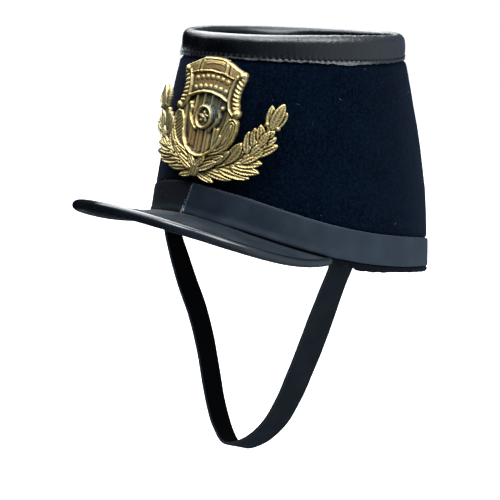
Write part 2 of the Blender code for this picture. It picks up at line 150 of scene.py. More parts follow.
STRAP_WAVES = (20.0, 0.2, 2, 0.0)

# Bell curves across the rim's seam: middle below the stitches, width
SEAM = (0.0, 0.55)
SEAM_SHADE = (-0.2, 0.7)
SEAM_SCUFFED = (-0.2, 2.2)
GATHERS = (-1.2, 1.4)
WRINKLES = (-3.2, 2.6)

# Eased steps across a piece, in millimetres: from, to
SWELL_FADES = (3.5, 12.0)
GRAIN_FADES = (9.0, 5.0)
CREASES_FADE = (9.5, 6.0)
RAW_BELOW_SEAM = (0.4, 1.2)
NAP_FROM = (14.0, 17.0)
NAP_TO_BAND = (-2.5, -0.5)
FULL_FROM = (70.0, 105.0)
FULL_TO_BAND = (-2.5, -0.3)
TUCKED_UNDER_BAND = (-1.2, 0.2)
HEM_BELOW_BAND = (-0.6, 1.0)
FRINGE_BELOW_BAND = (0.4, 1.6)
BAND_EDGE = (0.0, 0.6)
BAND_WORN_EDGE = (0.0, 3.0)
BAND_FOOT_SHADE = (0.5, 0.9)
PEAK_TURNS_UP = ((1.5, 4.5), (4.5, 13.0))
PEAK_WAVES_FROM = (2.0, 9.0)
PEAK_ROOT_SHADE = (3.7, 4.5)
STRAP_WORN_EDGE = (0.1, 1.0)

# Eased steps round the hat: from, to
STRAP_ENDS = ((51.0, 54.0), (64.0, 66.0))
GRAINED = ((36.0, 56.0), (125.0, 150.0))
CREASED = ((50.0, 92.0), (150.0, 175.0))
OVER_PEAK = (50.0, 54.0)
BAND_RIGHT_FRONT = (-5.0, 12.0)
PEAK_RIGHT_FRONT = (-5.0, 30.0)
SEAM_OPENS = (18.0, 36.0)
SEAM_GATHERS = (15.0, 35.0)
EDGE_WRINKLES = (84.0, 104.0)
FRAY_STARTS = (-14.0, 0.0)
FRAY_GROWS = (24.0, 42.0)
FRAY_ENDS = (66.0, 88.0)
FRAY_RETURNS = (95.0, 130.0)

FELT_TRIM = 0.5
HEM_SWELL = 1.5
HEM_ROUND = 1.3
FELT_BACK_TRIM = 0.9
FELT_LIP_DROP = 0.3
ROLL_ROWS = 22
LEAN_TOP = 0.8
LEAN_RUN = 4.4
SWELL_REAR = 0.8
SWELL_REAR_FACES = 37.0
SWELL_LEFT_REAR_FACES = radians(125.0)
STITCH_DEPTH = 10.9
STITCH_PITCH = 3.4
STITCH_HALF_LENGTH = 0.27
STITCH_RADIUS = 0.28
GIRTH_STEPS = 721
LEAF_ROWS = 30
LAP_SLANT = radians(3.6)
LAP_SLANT_ENDS = radians(20)
LAP_FLAT = radians(3)
BAND_ROUND = 0.28
BAND_FLARE = 1.1
BROWN_SHADE_FROM = (2 * pi - radians(50), 2 * pi - radians(30))
PEAK_STATIONS = 200
PEAK_TURN_UP = 0.60
SLOT_CLEARANCE = 0.12
STRAP_TWIST = radians(4.0)
STRAP_ROUND = 0.6
STRAP_CORNER = 0.18
STRAP_EDGE = 0.3
STRAP_COLUMNS = 25
STRAP_STATIONS = 420
TWIST_ENDS = (5.0, 8.0)

CAMERA_PLACE = (0.3261, -0.4768, 0.1559)
CAMERA_AZIMUTH = radians(36.9)
CAMERA_ELEVATION = radians(15.9)
CAMERA_ROLL = radians(-2.62)
CAMERA_LENS = 65.38
CAMERA_SENSOR = 36.0

SKY_SIDE = (0.95, 0.31, 0.0)
SKY_DARK = (0.004, 0.004, 0.005)
SKY_BLUE = (0.17, 0.23, 0.30)
SKY_PALE = (0.76, 0.88, 1.00)
SKY_TOP = (1.35, 1.55, 1.75)
SOFTBOX_COLOUR = (0.95, 0.98, 1.0)
SOFTBOX_TARGET = (0, 0, 0.05)
SOFTBOXES = (
    # name, place, size, power
    ("overhead", (-0.75, 0.20, 1.40), 1.6, 44.0),
    ("rear", (-1.1, 1.1, 1.2), 1.2, 20.0),
    ("beside", (1.25, 0.0, 1.75), 1.3, 48.0),
    ("front", (0.3, -1.1, 2.35), 0.9, 44.0),
)
FLOOR_SIZE = 8.0
FLOOR_HEIGHT = -0.26
SURROUND_RADIUS = 5.0


# ---------------- curves and meshes

def smooth(low, high, value):
    """Eased step from 0 at low to 1 at high."""
    t = np.clip((np.asarray(value, float) - low) / (high - low), 0, 1)
    return t * t * (3 - 2 * t)


def between(rise, fall, value):
    """1 between two eased steps and 0 outside them."""
    return smooth(*rise, value) * (1 - smooth(*fall, value))


def bump(value, centre, width):
    """Bell curve of height 1."""
    return np.exp(-((np.asarray(value, float) - centre) / width) ** 2)


def turned(phi):
    """Degrees round from the front, from -180 to 180."""
    return np.degrees(np.arctan2(np.sin(phi), np.cos(phi)))


def bells(phi, *places):
    """Sum of bell curves round the hat."""
    return sum(height * bump(turned(phi), centre, width) for height, centre, width in places)


def sag(phi):
    """How much deeper the rim's leather hangs at the right front and the left side."""
    return bells(phi, *SAG)


def lumps(points, pitch, height, octaves=2, seed=0.0):
    """Soft noise of a height, its lumps pitch millimetres apart."""
    flat = np.asarray(points, float).reshape(-1, 3) / pitch + seed
    values = [noise.fractal(p, 0.9, 2.1, octaves, noise_basis="PERLIN_ORIGINAL") for p in flat.tolist()]
    return height * np.array(values).reshape(np.asarray(points).shape[:-1])


def table_value(rows, column, at):
    """Smooth curve through a column of a table whose first column rises."""
    table = np.array(rows, float)
    keys, values = table[:, 0], table[:, column]
    slopes = np.r_[values[1] - values[0], values[2:] - values[:-2], values[-1] - values[-2]]
    slopes /= np.r_[keys[1] - keys[0], keys[2:] - keys[:-2], keys[-1] - keys[-2]]
    at = np.asarray(at, float)
    i = np.clip(np.searchsorted(keys, at) - 1, 0, len(keys) - 2)
    span = keys[i + 1] - keys[i]
    t = (at - keys[i]) / span
    bend = slopes[i] * t * (1 - t) ** 2 - slopes[i + 1] * t * t * (1 - t)
    return values[i] + (values[i + 1] - values[i]) * t * t * (3 - 2 * t) + span * bend


def wall(phi, depth, offset=0.0):
    """Points on the crown's outer face, moved outwards by offset."""
    front, rear, half = (table_value(CROWN_SECTIONS, c, depth) for c in (1, 2, 3))
    middle, length = (rear - front) / 2, (rear + front) / 2
    parts = ((half + offset) * np.sin(phi), middle - (length + offset) * np.cos(phi),
             TOP - np.asarray(depth, float))
    return np.stack(np.broadcast_arrays(*parts), -1)


def outward(phi):
    """Level direction out of the crown at phi."""
    return np.stack(np.broadcast_arrays(np.sin(phi), -np.cos(phi), 0.0 * phi), -1)


def band_bottom(phi):
    """Depth of the base band's lower edge."""
    return BASE_MEAN - BASE_SLOPE * np.cos(phi) - BASE_WAVE * np.cos(3 * phi)


def unit(vectors):
    """Vectors brought to length 1."""
    return vectors / np.linalg.norm(vectors, axis=-1, keepdims=True)


def tangents(line):
    """Unit directions along a line of points."""
    return unit(np.concatenate([line[1:2] - line[:1], line[2:] - line[:-2], line[-1:] - line[-2:-1]]))


def square_to(along, vectors):
    """Unit vectors nearest the given ones at right angles to unit directions."""
    return unit(vectors - along * (vectors * along).sum(-1, keepdims=True))


def run_along(line):
    """Length run at each point of a line."""
    return np.r_[0, np.cumsum(np.linalg.norm(np.diff(line, axis=0), axis=1))]


def shifted(points, along, amount):
    """Points moved along unit directions by an amount each."""
    return points + along * np.asarray(amount)[..., None]


def stations_round(count):
    """Column of angles right round the hat."""
    return np.linspace(0, 2 * pi, count, endpoint=False)[:, None]


def across_row(first, last, count):
    """Row of evenly spaced values."""
    return np.linspace(first, last, count)[None, :]


def beside(*parts):
    """Grids with the same rows, set side by side."""
    return np.concatenate(parts, 1)


def marked(points, values, rest=0.0):
    """Mark of a grid of points: values in its first columns, the rest elsewhere."""
    mark = np.full(points.shape[:2], rest)
    mark[:, :values.shape[1]] = values
    return mark


def grid_faces(rows, columns, ring_rows=False, ring_columns=True):
    """Quads between neighbouring points of a grid; a ring joins its last row or column to the first."""
    r = np.arange(rows if ring_rows else rows - 1)[:, None]
    c = np.arange(columns if ring_columns else columns - 1)[None, :]
    row, below, after = r * columns, (r + 1) % rows * columns, (c + 1) % columns
    corners = (row + c, row + after, below + after, below + c)
    return np.stack(np.broadcast_arrays(*corners), -1).reshape(-1, 4).tolist()


def swept_faces(points):
    """Faces of an open sweep of closed cross-sections, with its first and last closed."""
    rows, columns = points.shape[:2]
    return grid_faces(rows, columns) + [list(range(columns))[::-1],
                                        list(range((rows - 1) * columns, rows * columns))]


def flipped(faces):
    """Faces turned over, each from the same first corner."""
    return [face[:1] + face[:0:-1] for face in faces]


def repeated(grids, faces):
    """Points of many equal grids in one list, and the faces of one repeated for each."""
    size = grids[0].size // 3
    points = np.concatenate([grid.reshape(-1, 3) for grid in grids])
    return points, [[corner + k * size for corner in face] for k in range(len(grids)) for face in faces]


def mesh_piece(name, points, faces, mat, node="", marks=None, sharp=50.0):
    """Smooth-shaded piece of millimetre points that stands for a CAD node and rides with the hat."""
    mesh = bpy.data.meshes.new(name)
    mesh.from_pydata((np.asarray(points, float).reshape(-1, 3) * MM).tolist(), [], faces)
    for mark, values in (marks or {}).items():
        layer = mesh.attributes.new(mark, "FLOAT", "POINT")
        layer.data.foreach_set("value", np.asarray(values, np.float32).ravel())
    mesh.materials.append(mat)
    mesh.shade_smooth()
    mesh.set_sharp_from_angle(angle=radians(sharp))
    piece = bpy.data.objects.new(name, mesh)
    bpy.context.scene.collection.objects.link(piece)
    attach(piece, "root")
    if node:
        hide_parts(node)
    return piece


# ---------------- felt

def strap_tufts(phi):
    """How far the felt's torn tufts hang over each end of the strap."""
    tufts_from, tufts_lift = 20.0, -0.9
    near = between(*STRAP_ENDS, np.abs(turned(phi)))
    return near * (tufts_lift + lumps(wall(phi, tufts_from), *FELT_TUFTS))


def felt_line(phi):
    """Depth of the felt's ragged lower edge."""
    level = wall(phi, 140.0)
    ragged = lumps(level, *FELT_TEARS[0]) + lumps(level, *FELT_TEARS[1])
    return (band_bottom(phi) + FELT_BELOW_BAND - FELT_TRIM + ragged + strap_tufts(phi)
            + bells(phi, FELT_DIP))


def felt_offset(depth, phi):
    """How far the felt's outer face stands off the crown line: drawn in under both bands."""
    below_band = depth - band_bottom(phi)
    below_band_top = below_band + BAND_HEIGHT
    drop = TOP_BAND_DROP + sag(phi)
    under_top = TOP_PINCH * (1 - smooth(drop, drop + PINCH_RUN, depth))
    under_top *= smooth(WALL_TOP, TOP_BAND_DROP, depth)
    under_band = BAND_PINCH * smooth(*TUCKED_UNDER_BAND, below_band_top)
    hem = (HEM_SWELL + bells(phi, HEM_FULL)) * smooth(*HEM_BELOW_BAND, below_band)
    full = bells(phi, FELT_FULL) * smooth(*FULL_FROM, depth) * (1 - smooth(*FULL_TO_BAND, below_band_top))
    return hem + full - under_top - under_band


def build_felt(mat):
    """Felt wall with a nap of small lumps, a rough lower edge and a soft inner face."""
    stations, outer_rows, inner_rows = 560, 84, 26
    phi = stations_round(stations)
    edge = felt_line(phi)
    band_top = band_bottom(phi) - BAND_HEIGHT
    depth = WALL_TOP + (edge - WALL_TOP) * across_row(0, 1, outer_rows)
    outer = wall(phi, depth, felt_offset(depth, phi))
    bare = smooth(*NAP_FROM, depth) * (1 - smooth(*NAP_TO_BAND, depth - band_top))
    nap = (lumps(outer, *FELT_NAP[0]) + lumps(outer, *FELT_NAP[1])) * bare
    hem = smooth(*FRINGE_BELOW_BAND, depth - band_bottom(phi))
    rounding = -HEM_ROUND * smooth(-HEM_ROUND, 0.0, depth - edge)
    outer = shifted(outer, outward(phi), nap + hem * lumps(outer, *HEM_LUMPS) + rounding)
    inner_depth = WALL_TOP + (edge - FELT_BACK_TRIM - WALL_TOP) * across_row(1, 0, inner_rows)
    pinch = BAND_PINCH * smooth(band_top - PINCH_RUN, band_top, inner_depth)
    inner = wall(phi, inner_depth, -FELT - pinch)
    lip = (outer[:, -1:] + inner[:, :1]) / 2 - FELT_LIP_DROP * UP
    points = beside(outer, lip, inner)
    marks = {"inside": marked(points, np.zeros((stations, outer_rows + 1)), 1.0),
             "fringe": marked(points, beside(hem, np.ones((stations, 1))))}
    faces = grid_faces(stations, points.shape[1], True)
    return mesh_piece("felt_crown", points, faces, mat, "crown_shell", marks, 180.0)


# ---------------- leather top and rim

def build_top_leather(mat):
    """Recessed leather disc, turned up at its edge, a little slack in the middle."""
    stations, rings, eye, droop = 240, 40, 0.004, 0.5
    outer = -FELT - GAP
    inner = outer - TOP_FLANGE
    phi = stations_round(stations)
    share = across_row(0, 1, rings)
    middle = (wall(0.0, TOP_RECESS) + wall(pi, TOP_RECESS)) / 2
    disc = middle + (wall(phi, TOP_RECESS, inner) - middle) * np.maximum(share, eye)[..., None]
    disc[..., 2] += lumps(disc, *TOP_SLACK) * (1 - smooth(0.9, 1.0, share)) - droop * (1 - share ** 2)
    turned_up = ((inner, TOP_RECESS - 0.7), (inner, WALL_TOP + 0.4), (inner + 0.5, WALL_TOP),
                 (outer - 0.4, WALL_TOP), (outer, WALL_TOP + 0.4), (outer, TOP_RECESS + TOP_LEATHER))
    flange = beside(*(wall(phi, depth, offset) for offset, depth in turned_up))
    under = middle + (flange[:, -1:] - middle) * np.linspace(1, eye, 12)[None, 1:, None]
    under[..., 2] = TOP - TOP_RECESS - TOP_LEATHER
    points = beside(disc, flange, under)
    columns = points.shape[1]
    upper_eye = list(range(0, stations * columns, columns))
    lower_eye = list(range(columns - 1, stations * columns, columns))
    faces = grid_faces(stations, columns, True, False) + [upper_eye[::-1], lower_eye]
    return mesh_piece("top_leather", points, faces, mat, "crown_top", None, 60.0)


def swell(phi, depth):
    """Rise of the roll from its left front round to the rear."""
    rear = SWELL_REAR * smooth(-0.5, 0.5, -np.cos(np.radians(turned(phi) - SWELL_REAR_FACES)))
    left_rear = bells(phi - SWELL_LEFT_REAR_FACES, SWELL_LEFT_REAR)
    return (rear + left_rear + bells(phi, SWELL_LEFT_FRONT)) * (1 - smooth(*SWELL_FADES, depth))


def lean(phi, depth):
    """How far the roll's inner wall leans in at a depth."""
    leaning = bells(phi, LEAN_RIGHT_REAR) + bells(phi - pi, LEAN_REAR)
    return leaning * np.clip((depth - LEAN_TOP) / LEAN_RUN, 0, 1)


def stitch_line(phi):
    """Depth of the row of stitches, which runs low at the left front."""
    return STITCH_DEPTH + sag(phi) + bells(phi, STITCH_DIP)


def stitch_places():
    """Angles round the rim, the number of stitches passed at each, and their number in all."""
    phi = np.linspace(0, 2 * pi, GIRTH_STEPS)
    run = run_along(wall(phi, STITCH_DEPTH))
    count = round(run[-1] / STITCH_PITCH)
    return phi, run / run[-1] * count, count


def needle_holes(phi):
    """1 at each needle hole of the row of stitches, 0 between."""
    girth, place, _ = stitch_places()
    return 0.5 + 0.5 * np.cos(2 * pi * np.interp(phi % (2 * pi), girth, place))


def rim_relief(outer, phi, below):
    """How far the rim's outer leaf stands out: holes and gathers along its seam, a torn, curled edge."""
    holes = needle_holes(phi)
    place = turned(phi)
    seam = bump(below, *SEAM) * (0.05 + (0.05 + 0.90 * smooth(*SEAM_OPENS, place)) * holes ** 3)
    gather = 0.14 * bump(below, *GATHERS) * (0.5 - holes) * smooth(*SEAM_GATHERS, place)
    upright = lumps(outer * np.array([1.0, 1.0, 0.12]), *RIM_WRINKLES)
    wrinkles = upright * bump(below, *WRINKLES) * smooth(*EDGE_WRINKLES, place)
    curl = smooth(0.8, TOP_BAND_DROP - STITCH_DEPTH, below)
    curl *= 1 - 0.8 * smooth(62.0, 92.0, np.abs(place + 8.0))
    return -0.55 * seam + gather + wrinkles + curl * (0.05 + lumps(outer, *RIM_FRINGE))


def rim_creases(points, phi):
    """Depth of the roll's long creases and fine upright wrinkles."""
    long_lines = np.abs(lumps(points * np.array([0.35, 0.35, 1.4]), *LONG_CREASES))
    upright = np.abs(lumps(points * np.array([1.0, 1.0, 0.25]), *UPRIGHT_CREASES))
    left = between(*CREASED, turned(phi))
    creases = (0.25 + 0.75 * left) * 0.22 * (1 - smooth(0.0, 0.22, long_lines))
    return lumps(points, *ROLL_WAVES) + creases + left * 0.12 * (1 - smooth(0.0, 0.2, upright))


def worn_leather(points, phi):
    """Outer leaf and roll with the leather's grain at the left and its creases."""
    crease = rim_creases(points, phi)
    grained = between(*GRAINED, turned(phi)) * smooth(*GRAIN_FADES, TOP - points[..., 2])
    grain = lumps(points, *ROLL_GRAIN) * grained
    points = shifted(points, outward(phi) + UP, grain)
    points[..., 2] -= crease * smooth(*CREASES_FADE, TOP - points[..., 2])
    return points


def rim_marks(points, outer, phi, below):
    """Where the rim's leather is torn raw and scuffed, and the painted shade on its seam, pressed in by
    its stitches, darkest in the needle holes.
    """
    place = turned(phi)
    frayed = 0.03 + 0.40 * smooth(*FRAY_STARTS, place) + 0.57 * smooth(*FRAY_GROWS, place)
    frayed = frayed * (1 - smooth(*FRAY_ENDS, place)) + 0.25 * smooth(*FRAY_RETURNS, place)
    raw = marked(points, smooth(*RAW_BELOW_SEAM, below + lumps(outer, *RIM_RAW_PATCHES)) * frayed)
    raw[:, -1] = 0.4
    # Painted shade along the seam pressed in by the stitches, darkest in the needle holes, weaker at the
    # wearer's left
    stitch_shade = 0.35 - 0.25 * smooth(62.0, 84.0, place) + 0.65 * needle_holes(phi) ** 2
    return {"raw": raw, "painted_shade": marked(points, bump(below, *SEAM_SHADE) * stitch_shade),
            "scuffed": marked(points, bells(phi, SCUFF) * bump(below, *SEAM_SCUFFED))}


def build_rim(mat):
    """Glossy band rolled over the rim: creased roll, a row of stitches and a raw lower edge."""
    stations, edge_trim = 1280, 0.55
    phi = stations_round(stations)
    tears = lumps(wall(phi, TOP_BAND_DROP), *RIM_TEARS)
    low = TOP_BAND_DROP - edge_trim + tears + sag(phi) + bells(phi, RIM_EDGE_DIP)
    depth = low + (ROLL_RADIUS - low) * across_row(0, 1, LEAF_ROWS)
    slope = (depth - ROLL_RADIUS) / (TOP_BAND_DROP + sag(phi) - ROLL_RADIUS)
    flat = wall(phi, depth, ROLL_CENTRE + ROLL_RADIUS - TOP_PINCH * smooth(0.0, 1.0, slope) ** 0.9)
    below = depth - stitch_line(phi)
    outer = shifted(flat, outward(phi), rim_relief(flat, phi, below))
    turn = across_row(0, pi, ROLL_ROWS)[:, 1:]
    roll_depth = ROLL_RADIUS * (1 - np.sin(turn))
    roll_offset = ROLL_CENTRE + ROLL_RADIUS * np.cos(turn) - lean(phi, roll_depth) * (turn > pi / 2)
    back_depth = np.array([[5.2, 6.6, TOP_RECESS - GAP]])
    back = wall(phi, back_depth, ROLL_CENTRE - ROLL_RADIUS - lean(phi, back_depth))
    thin = ROLL_RADIUS - ROLL_LEATHER
    turn = across_row(0, pi, 9)
    inner_back = wall(phi, TOP_RECESS - GAP, ROLL_CENTRE - thin)
    inner_roll = wall(phi, ROLL_RADIUS - thin * np.sin(turn), ROLL_CENTRE - thin * np.cos(turn))
    inner_leaf = wall(phi, low, ROLL_CENTRE + thin - TOP_PINCH)
    worn = worn_leather(beside(outer, wall(phi, roll_depth, roll_offset)), phi)
    points = beside(worn, back, inner_back, inner_roll, inner_leaf)
    points[..., 2] += swell(phi, TOP - points[..., 2])
    faces = flipped(grid_faces(stations, points.shape[1], True))
    return mesh_piece("rim_band", points, faces, mat, "top_band",
                      rim_marks(points, outer, phi, below), 70.0)


def build_rim_stitches(mat):
    """Short dark threads bedded in the rim's row of needle holes."""
    girth, place, count = stitch_places()
    along = np.linspace(-STITCH_HALF_LENGTH, STITCH_HALF_LENGTH, 7)
    angle = 2 * pi * across_row(0, 1, 7)[:, :-1]
    rise = 0.40 - 0.75 * np.abs(along / STITCH_HALF_LENGTH) ** 3
    threads = []
    for k in range(count):
        phi = np.interp(k + along + 0.5, place, girth)[:, None]
        centre = wall(phi, stitch_line(phi), 0.0) + outward(phi) * rise[:, None, None]
        ring = shifted(centre, outward(phi), STITCH_RADIUS * np.cos(angle))
        threads.append(shifted(ring, UP, STITCH_RADIUS * np.sin(angle)))
    points, faces = repeated(threads, flipped(swept_faces(threads[0])))
    return mesh_piece("rim_stitches", points, faces, mat, "")


# ---------------- fibres

def fibre(start, along, length, curl, thickness, sides=3, steps=5):
    """Points of one curved hair: rings of a few points round a bent line."""
    t = np.linspace(0, 1, steps)[:, None]
    line = start + along * length * t + curl * length * t * t
    ring = np.arange(sides) / sides * 2 * pi
    across = unit(np.cross(along, [0.3, 0.5, 0.8]))
    size = thickness * (1 - 0.7 * t)
    hair = shifted(line[:, None], across, size * np.cos(ring))
    return shifted(hair, np.cross(along, across), size * np.sin(ring))


def build_fibres(name, mat, count, seed, spread, length, thickness, lean_out, slot):
    """Loose hairs over the outside of the hat: spread(random) gives a place and the way out of it."""
    random = np.random.default_rng(seed)
    hairs = []
    for _ in range(count):
        start, out = spread(random)
        side = np.cross(-UP, out)
        turn = random.uniform(0, 2 * pi)
        along = unit(out * lean_out + side * cos(turn) - UP * sin(turn))
        curl = side * random.normal(0, 0.4) - UP * random.normal(0, 0.4)
        hairs.append(fibre(start, along, random.uniform(*length), curl, thickness))
    points, faces = repeated(hairs, grid_faces(*hairs[0].shape[:2]))
    return mesh_piece(name, points, faces, mat, "")


def on_felt(random):
    """A place at random on the felt between its bands."""
    phi = random.uniform(-pi, pi)
    depth = random.uniform(TOP_BAND_DROP + 3.0, band_bottom(phi) - BAND_HEIGHT - 2.0)
    return wall(phi, depth, float(felt_offset(depth, phi)) - 0.1), outward(phi)


def on_band(random):
    """A place at random on the base band and just above it."""
    phi = random.uniform(-pi, pi)
    depth = band_bottom(phi) - random.uniform(2.0, BAND_HEIGHT + 10.0)
    on_leather = depth >= band_bottom(phi) - BAND_HEIGHT - 1.0
    offset = GAP - BAND_PINCH + BAND_LEATHER if on_leather else float(felt_offset(depth, phi))
    return wall(phi, depth, offset), outward(phi)


def on_worn_rim(random):
    """A place at random in the worn patch of the rim's stitched edge."""
    phi = random.normal(radians(-43.0), radians(7.0))
    depth = float(stitch_line(phi)) + random.uniform(-1.6, 1.6)
    return wall(phi, depth, 0.35), outward(phi)


def on_lap(random):
    """A place at random on the lower part of the base band's lapped end."""
    share = abs(random.normal(0.0, 0.20))
    phi = -LAP_SLANT * (1 - share) + random.normal(0.0, 0.004)
    return wall(phi, band_bottom(phi) - BAND_HEIGHT * share, 2 * BAND_LEATHER + 0.35), outward(phi)


FIBRES = (
    # name, material, its dark and light, count, seed, place, lengths, thickness, lean, slot
    ("felt_fuzz", "felt_hairs", (0.002, 0.004, 0.010), (0.006, 0.011, 0.022),
     5000, 3, on_felt, (0.5, 1.2), 0.045, 1.3, "felt"),
    ("lint", "pale_lint", (0.08, 0.10, 0.12), (0.5, 0.52, 0.55),
     90, 5, on_felt, (0.4, 1.6), 0.06, 0.2, "felt"),
    ("band_lint", "band_specks", (0.2, 0.2, 0.2), (0.6, 0.6, 0.6),
     40, 8, on_band, (0.3, 0.9), 0.10, 0.3, "felt"),
    ("rim_fray", "frayed_edge", (0.10, 0.11, 0.13), (0.45, 0.46, 0.50),
     70, 4, on_worn_rim, (1.0, 2.6), 0.13, 0.25, "glossy_leather"),
    ("seam_fray", "seam_fluff", (0.16, 0.17, 0.19), (0.42, 0.43, 0.46),
     34, 6, on_lap, (0.6, 1.6), 0.10, 0.3, "satin_leather"),
)


# ---------------- base band

def band_marks(points, phi, level, share, waves):
    """Where the band is torn raw at its ends, and where shade is painted on it: darker and browner at the
    right front, near black along its foot over the peak.
    """
    from_end = 100.0 * np.minimum(level, 2 * pi + BAND_LAP - level)
    torn = 1 - smooth(0.5, 1.5, from_end + 0.5 * waves)
    # Painted shade: darker and browner at the band's right front, most in its upper part
    brown = smooth(*BROWN_SHADE_FROM, level) * (0.35 + 0.65 * smooth(0.05, 0.55, share))
    # Painted shade along the band's foot where it stands over the peak, wider at the right front
    over_peak = 1 - smooth(*OVER_PEAK, np.abs(turned(phi)))
    right_front = 1 - smooth(*BAND_RIGHT_FRONT, turned(phi))
    foot = over_peak * (1 - smooth(*BAND_FOOT_SHADE, share * BAND_HEIGHT + 0.15 * waves - 1.6 * right_front))
    return {"raw": marked(points, torn, 1.0), "brown": marked(points, brown),
            "painted_shade": marked(points, foot)}


def build_base_leather(mat):
    """Satin strip round the base: soft ripples, worn edges and a raw end lapped at the front."""
    stations, rows = 900, 26
    share = across_row(0, 1, rows)
    level = np.linspace(0, 2 * pi + BAND_LAP, stations)[:, None]
    phi = level - LAP_SLANT * (1 - share) * (1 - smooth(0.0, LAP_SLANT_ENDS, level))
    settled = smooth(BAND_LAP + LAP_FLAT, BAND_LAP + LAP_FLAT + BAND_LAP_EASE, phi)
    inner = GAP - BAND_PINCH + (BAND_LEATHER + GAP) * (1 - settled)
    from_edge = np.minimum(share, 1 - share) * BAND_HEIGHT
    depth = band_bottom(phi) - BAND_HEIGHT * share
    outer = wall(phi, depth, inner + BAND_LEATHER - BAND_ROUND * (1 - smooth(*BAND_EDGE, from_edge)))
    waves = lumps(wall(phi, depth), *BAND_EDGE_WAVES)
    relief = lumps(outer * np.array([1.0, 1.0, 0.6]), *BAND_RIPPLES) + bells(phi, BAND_FULL) - 0.1
    relief += 0.16 * waves * (1 - smooth(*BAND_WORN_EDGE, from_edge))
    low_edge = 1 - smooth(0.0, 0.30, share)
    flare = BAND_FLARE * low_edge * np.cos(np.minimum(1.2 * np.radians(np.abs(turned(phi))), pi / 2))
    outer = shifted(outer, outward(phi), relief + flare)
    outer[..., 2] += 0.18 * waves * low_edge
    back = shifted(wall(phi, depth, inner), outward(phi), flare)
    points = beside(outer, back[:, ::-1])
    return mesh_piece("base_leather", points, flipped(swept_faces(points)), mat, "base_band",
                      band_marks(points, phi, level, share, waves))


# ---------------- peak

def peak_edge(theta):
    """Centre line of the bound edge, theta from -90 to 90 degrees."""
    edge = PEAK_EDGE
    ahead = np.abs(np.cos(theta))
    return np.stack([edge["half_width"] * np.sin(theta),
                     edge["root_y"] - edge["reach"] * ahead ** edge["reach_power"],
                     edge["root_z"] + edge["rise"] * ahead ** edge["rise_power"]], -1)


def peak_rulings():
    """Root and edge points, inward and upward directions and edge angle, evenly along the edge."""
    fine = np.linspace(-pi / 2, pi / 2, 2401)
    run = run_along(peak_edge(fine))
    theta = np.interp(np.linspace(0, run[-1], PEAK_STATIONS + 1), run, fine)
    centre = peak_edge(theta)
    phi = PEAK_SPAN * np.linspace(-1, 1, PEAK_STATIONS + 1)
    root = wall(phi, band_bottom(phi) + PEAK_UNDER_BAND + PEAK_LEATHER / 2, PEAK_INNER_GAP)
    ahead = tangents(centre)
    inward = square_to(ahead, root - centre)
    return root, centre, inward, np.cross(ahead, inward), theta


def build_peak(mat):
    """Peak sheet, turned up a little where it meets the felt."""
    rows, trimmed, tucked = 56, 4, 0.7
    root, centre, inward, up, _ = (part[trimmed:-trimmed] for part in peak_rulings())
    share = across_row(0, 1, rows)
    line = root[:, None] + (centre + inward * tucked - root)[:, None] * share[..., None]
    run = np.linalg.norm(line - line[:, :1], axis=-1)
    place = np.degrees(PEAK_SPAN) * np.linspace(-1, 1, len(root))[:, None]
    right_front = 1 - smooth(*PEAK_RIGHT_FRONT, place)
    lift = PEAK_TURN_UP * (1 + right_front) * between(*PEAK_TURNS_UP, run)
    lift += lumps(line, *PEAK_WAVES) * smooth(*PEAK_WAVES_FROM, run) * (1 - smooth(0.86, 1.0, share))
    half = PEAK_LEATHER / 2 - SLOT_CLEARANCE
    top, under = (shifted(line, up[:, None], lift + face) for face in (half, -half))
    points = beside(top, under[:, ::-1])
    # Painted shade: near black by the root under the band, further out at the right front, where the
    # sheet goes into the bead, and over the whole underside
    shaded = 1 - smooth(*PEAK_ROOT_SHADE, run - 1.6 * right_front)
    shaded = np.maximum(shaded, smooth(0.968, 0.972, share))
    return mesh_piece("peak_leather", points, swept_faces(points), mat, "peak",
                      {"painted_shade": marked(points, shaded, 1.0)})


def build_bead(mat):
    """Leather binding rolled round the peak's edge, pressed in a groove where it meets the sheet."""
    sides = 30
    _, centre, inward, up, theta = peak_rulings()
    radius = BEAD_END_RADIUS + (BEAD_RADIUS - BEAD_END_RADIUS) * np.maximum(np.cos(theta), 0.0) ** 0.5
    radius = radius * (1 + lumps(centre, *BEAD_WAVES))
    to_end = 1 - np.abs(np.linspace(-1, 1, PEAK_STATIONS + 1))
    tuck = 0.15 + 0.85 * np.minimum(to_end / 0.012, 1) ** 0.5
    flattened = 1 - 0.85 * (1 - smooth(0.0, 0.032, to_end))[:, None]
    slot = PEAK_LEATHER / 2 + SLOT_CLEARANCE
    lip = np.arcsin(slot / radius)[:, None]
    turn = across_row(0, 1, sides)
    angle = lip + 2 * (pi - lip) * turn
    from_slot = np.minimum(turn, 1 - turn)
    pressed = 0.10 * (1 - smooth(0.45, 0.70, to_end))[:, None]
    size = (radius * tuck)[:, None] * (1 - pressed * bump(from_slot, 0.045, 0.03))
    height = size * np.sin(angle)
    height = np.where(height < 0, height * flattened, height)
    ring = shifted(shifted(centre[:, None], inward[:, None], size * np.cos(angle)), up[:, None], height)
    inner = up * (slot * tuck)[:, None]
    points = beside(ring, np.stack([centre - inner * flattened, centre + inner], 1))
    # Painted shade at the lips of the bead's slot and inside it
    return mesh_piece("peak_bead", points, swept_faces(points), mat, "peak_binding",
                      {"painted_shade": marked(points, bump(from_slot, 0.0, 0.045), 1.0)}, 60.0)


# ---------------- chin strap

def strap_profile(half):
    """Cross-section of the strap: two flat faces between burnished corners."""
    thick = STRAP_LEATHER / 2
    flat = [(x, -thick) for x in (half - STRAP_ROUND) * np.linspace(-1, 1, STRAP_COLUMNS)]
    edge = [(half - STRAP_CORNER, STRAP_CORNER - thick), (half, -STRAP_EDGE), (half, STRAP_EDGE),
            (half - STRAP_CORNER, thick - STRAP_CORNER)]
    face = np.array(flat + edge)
    return np.concatenate([face, -face])


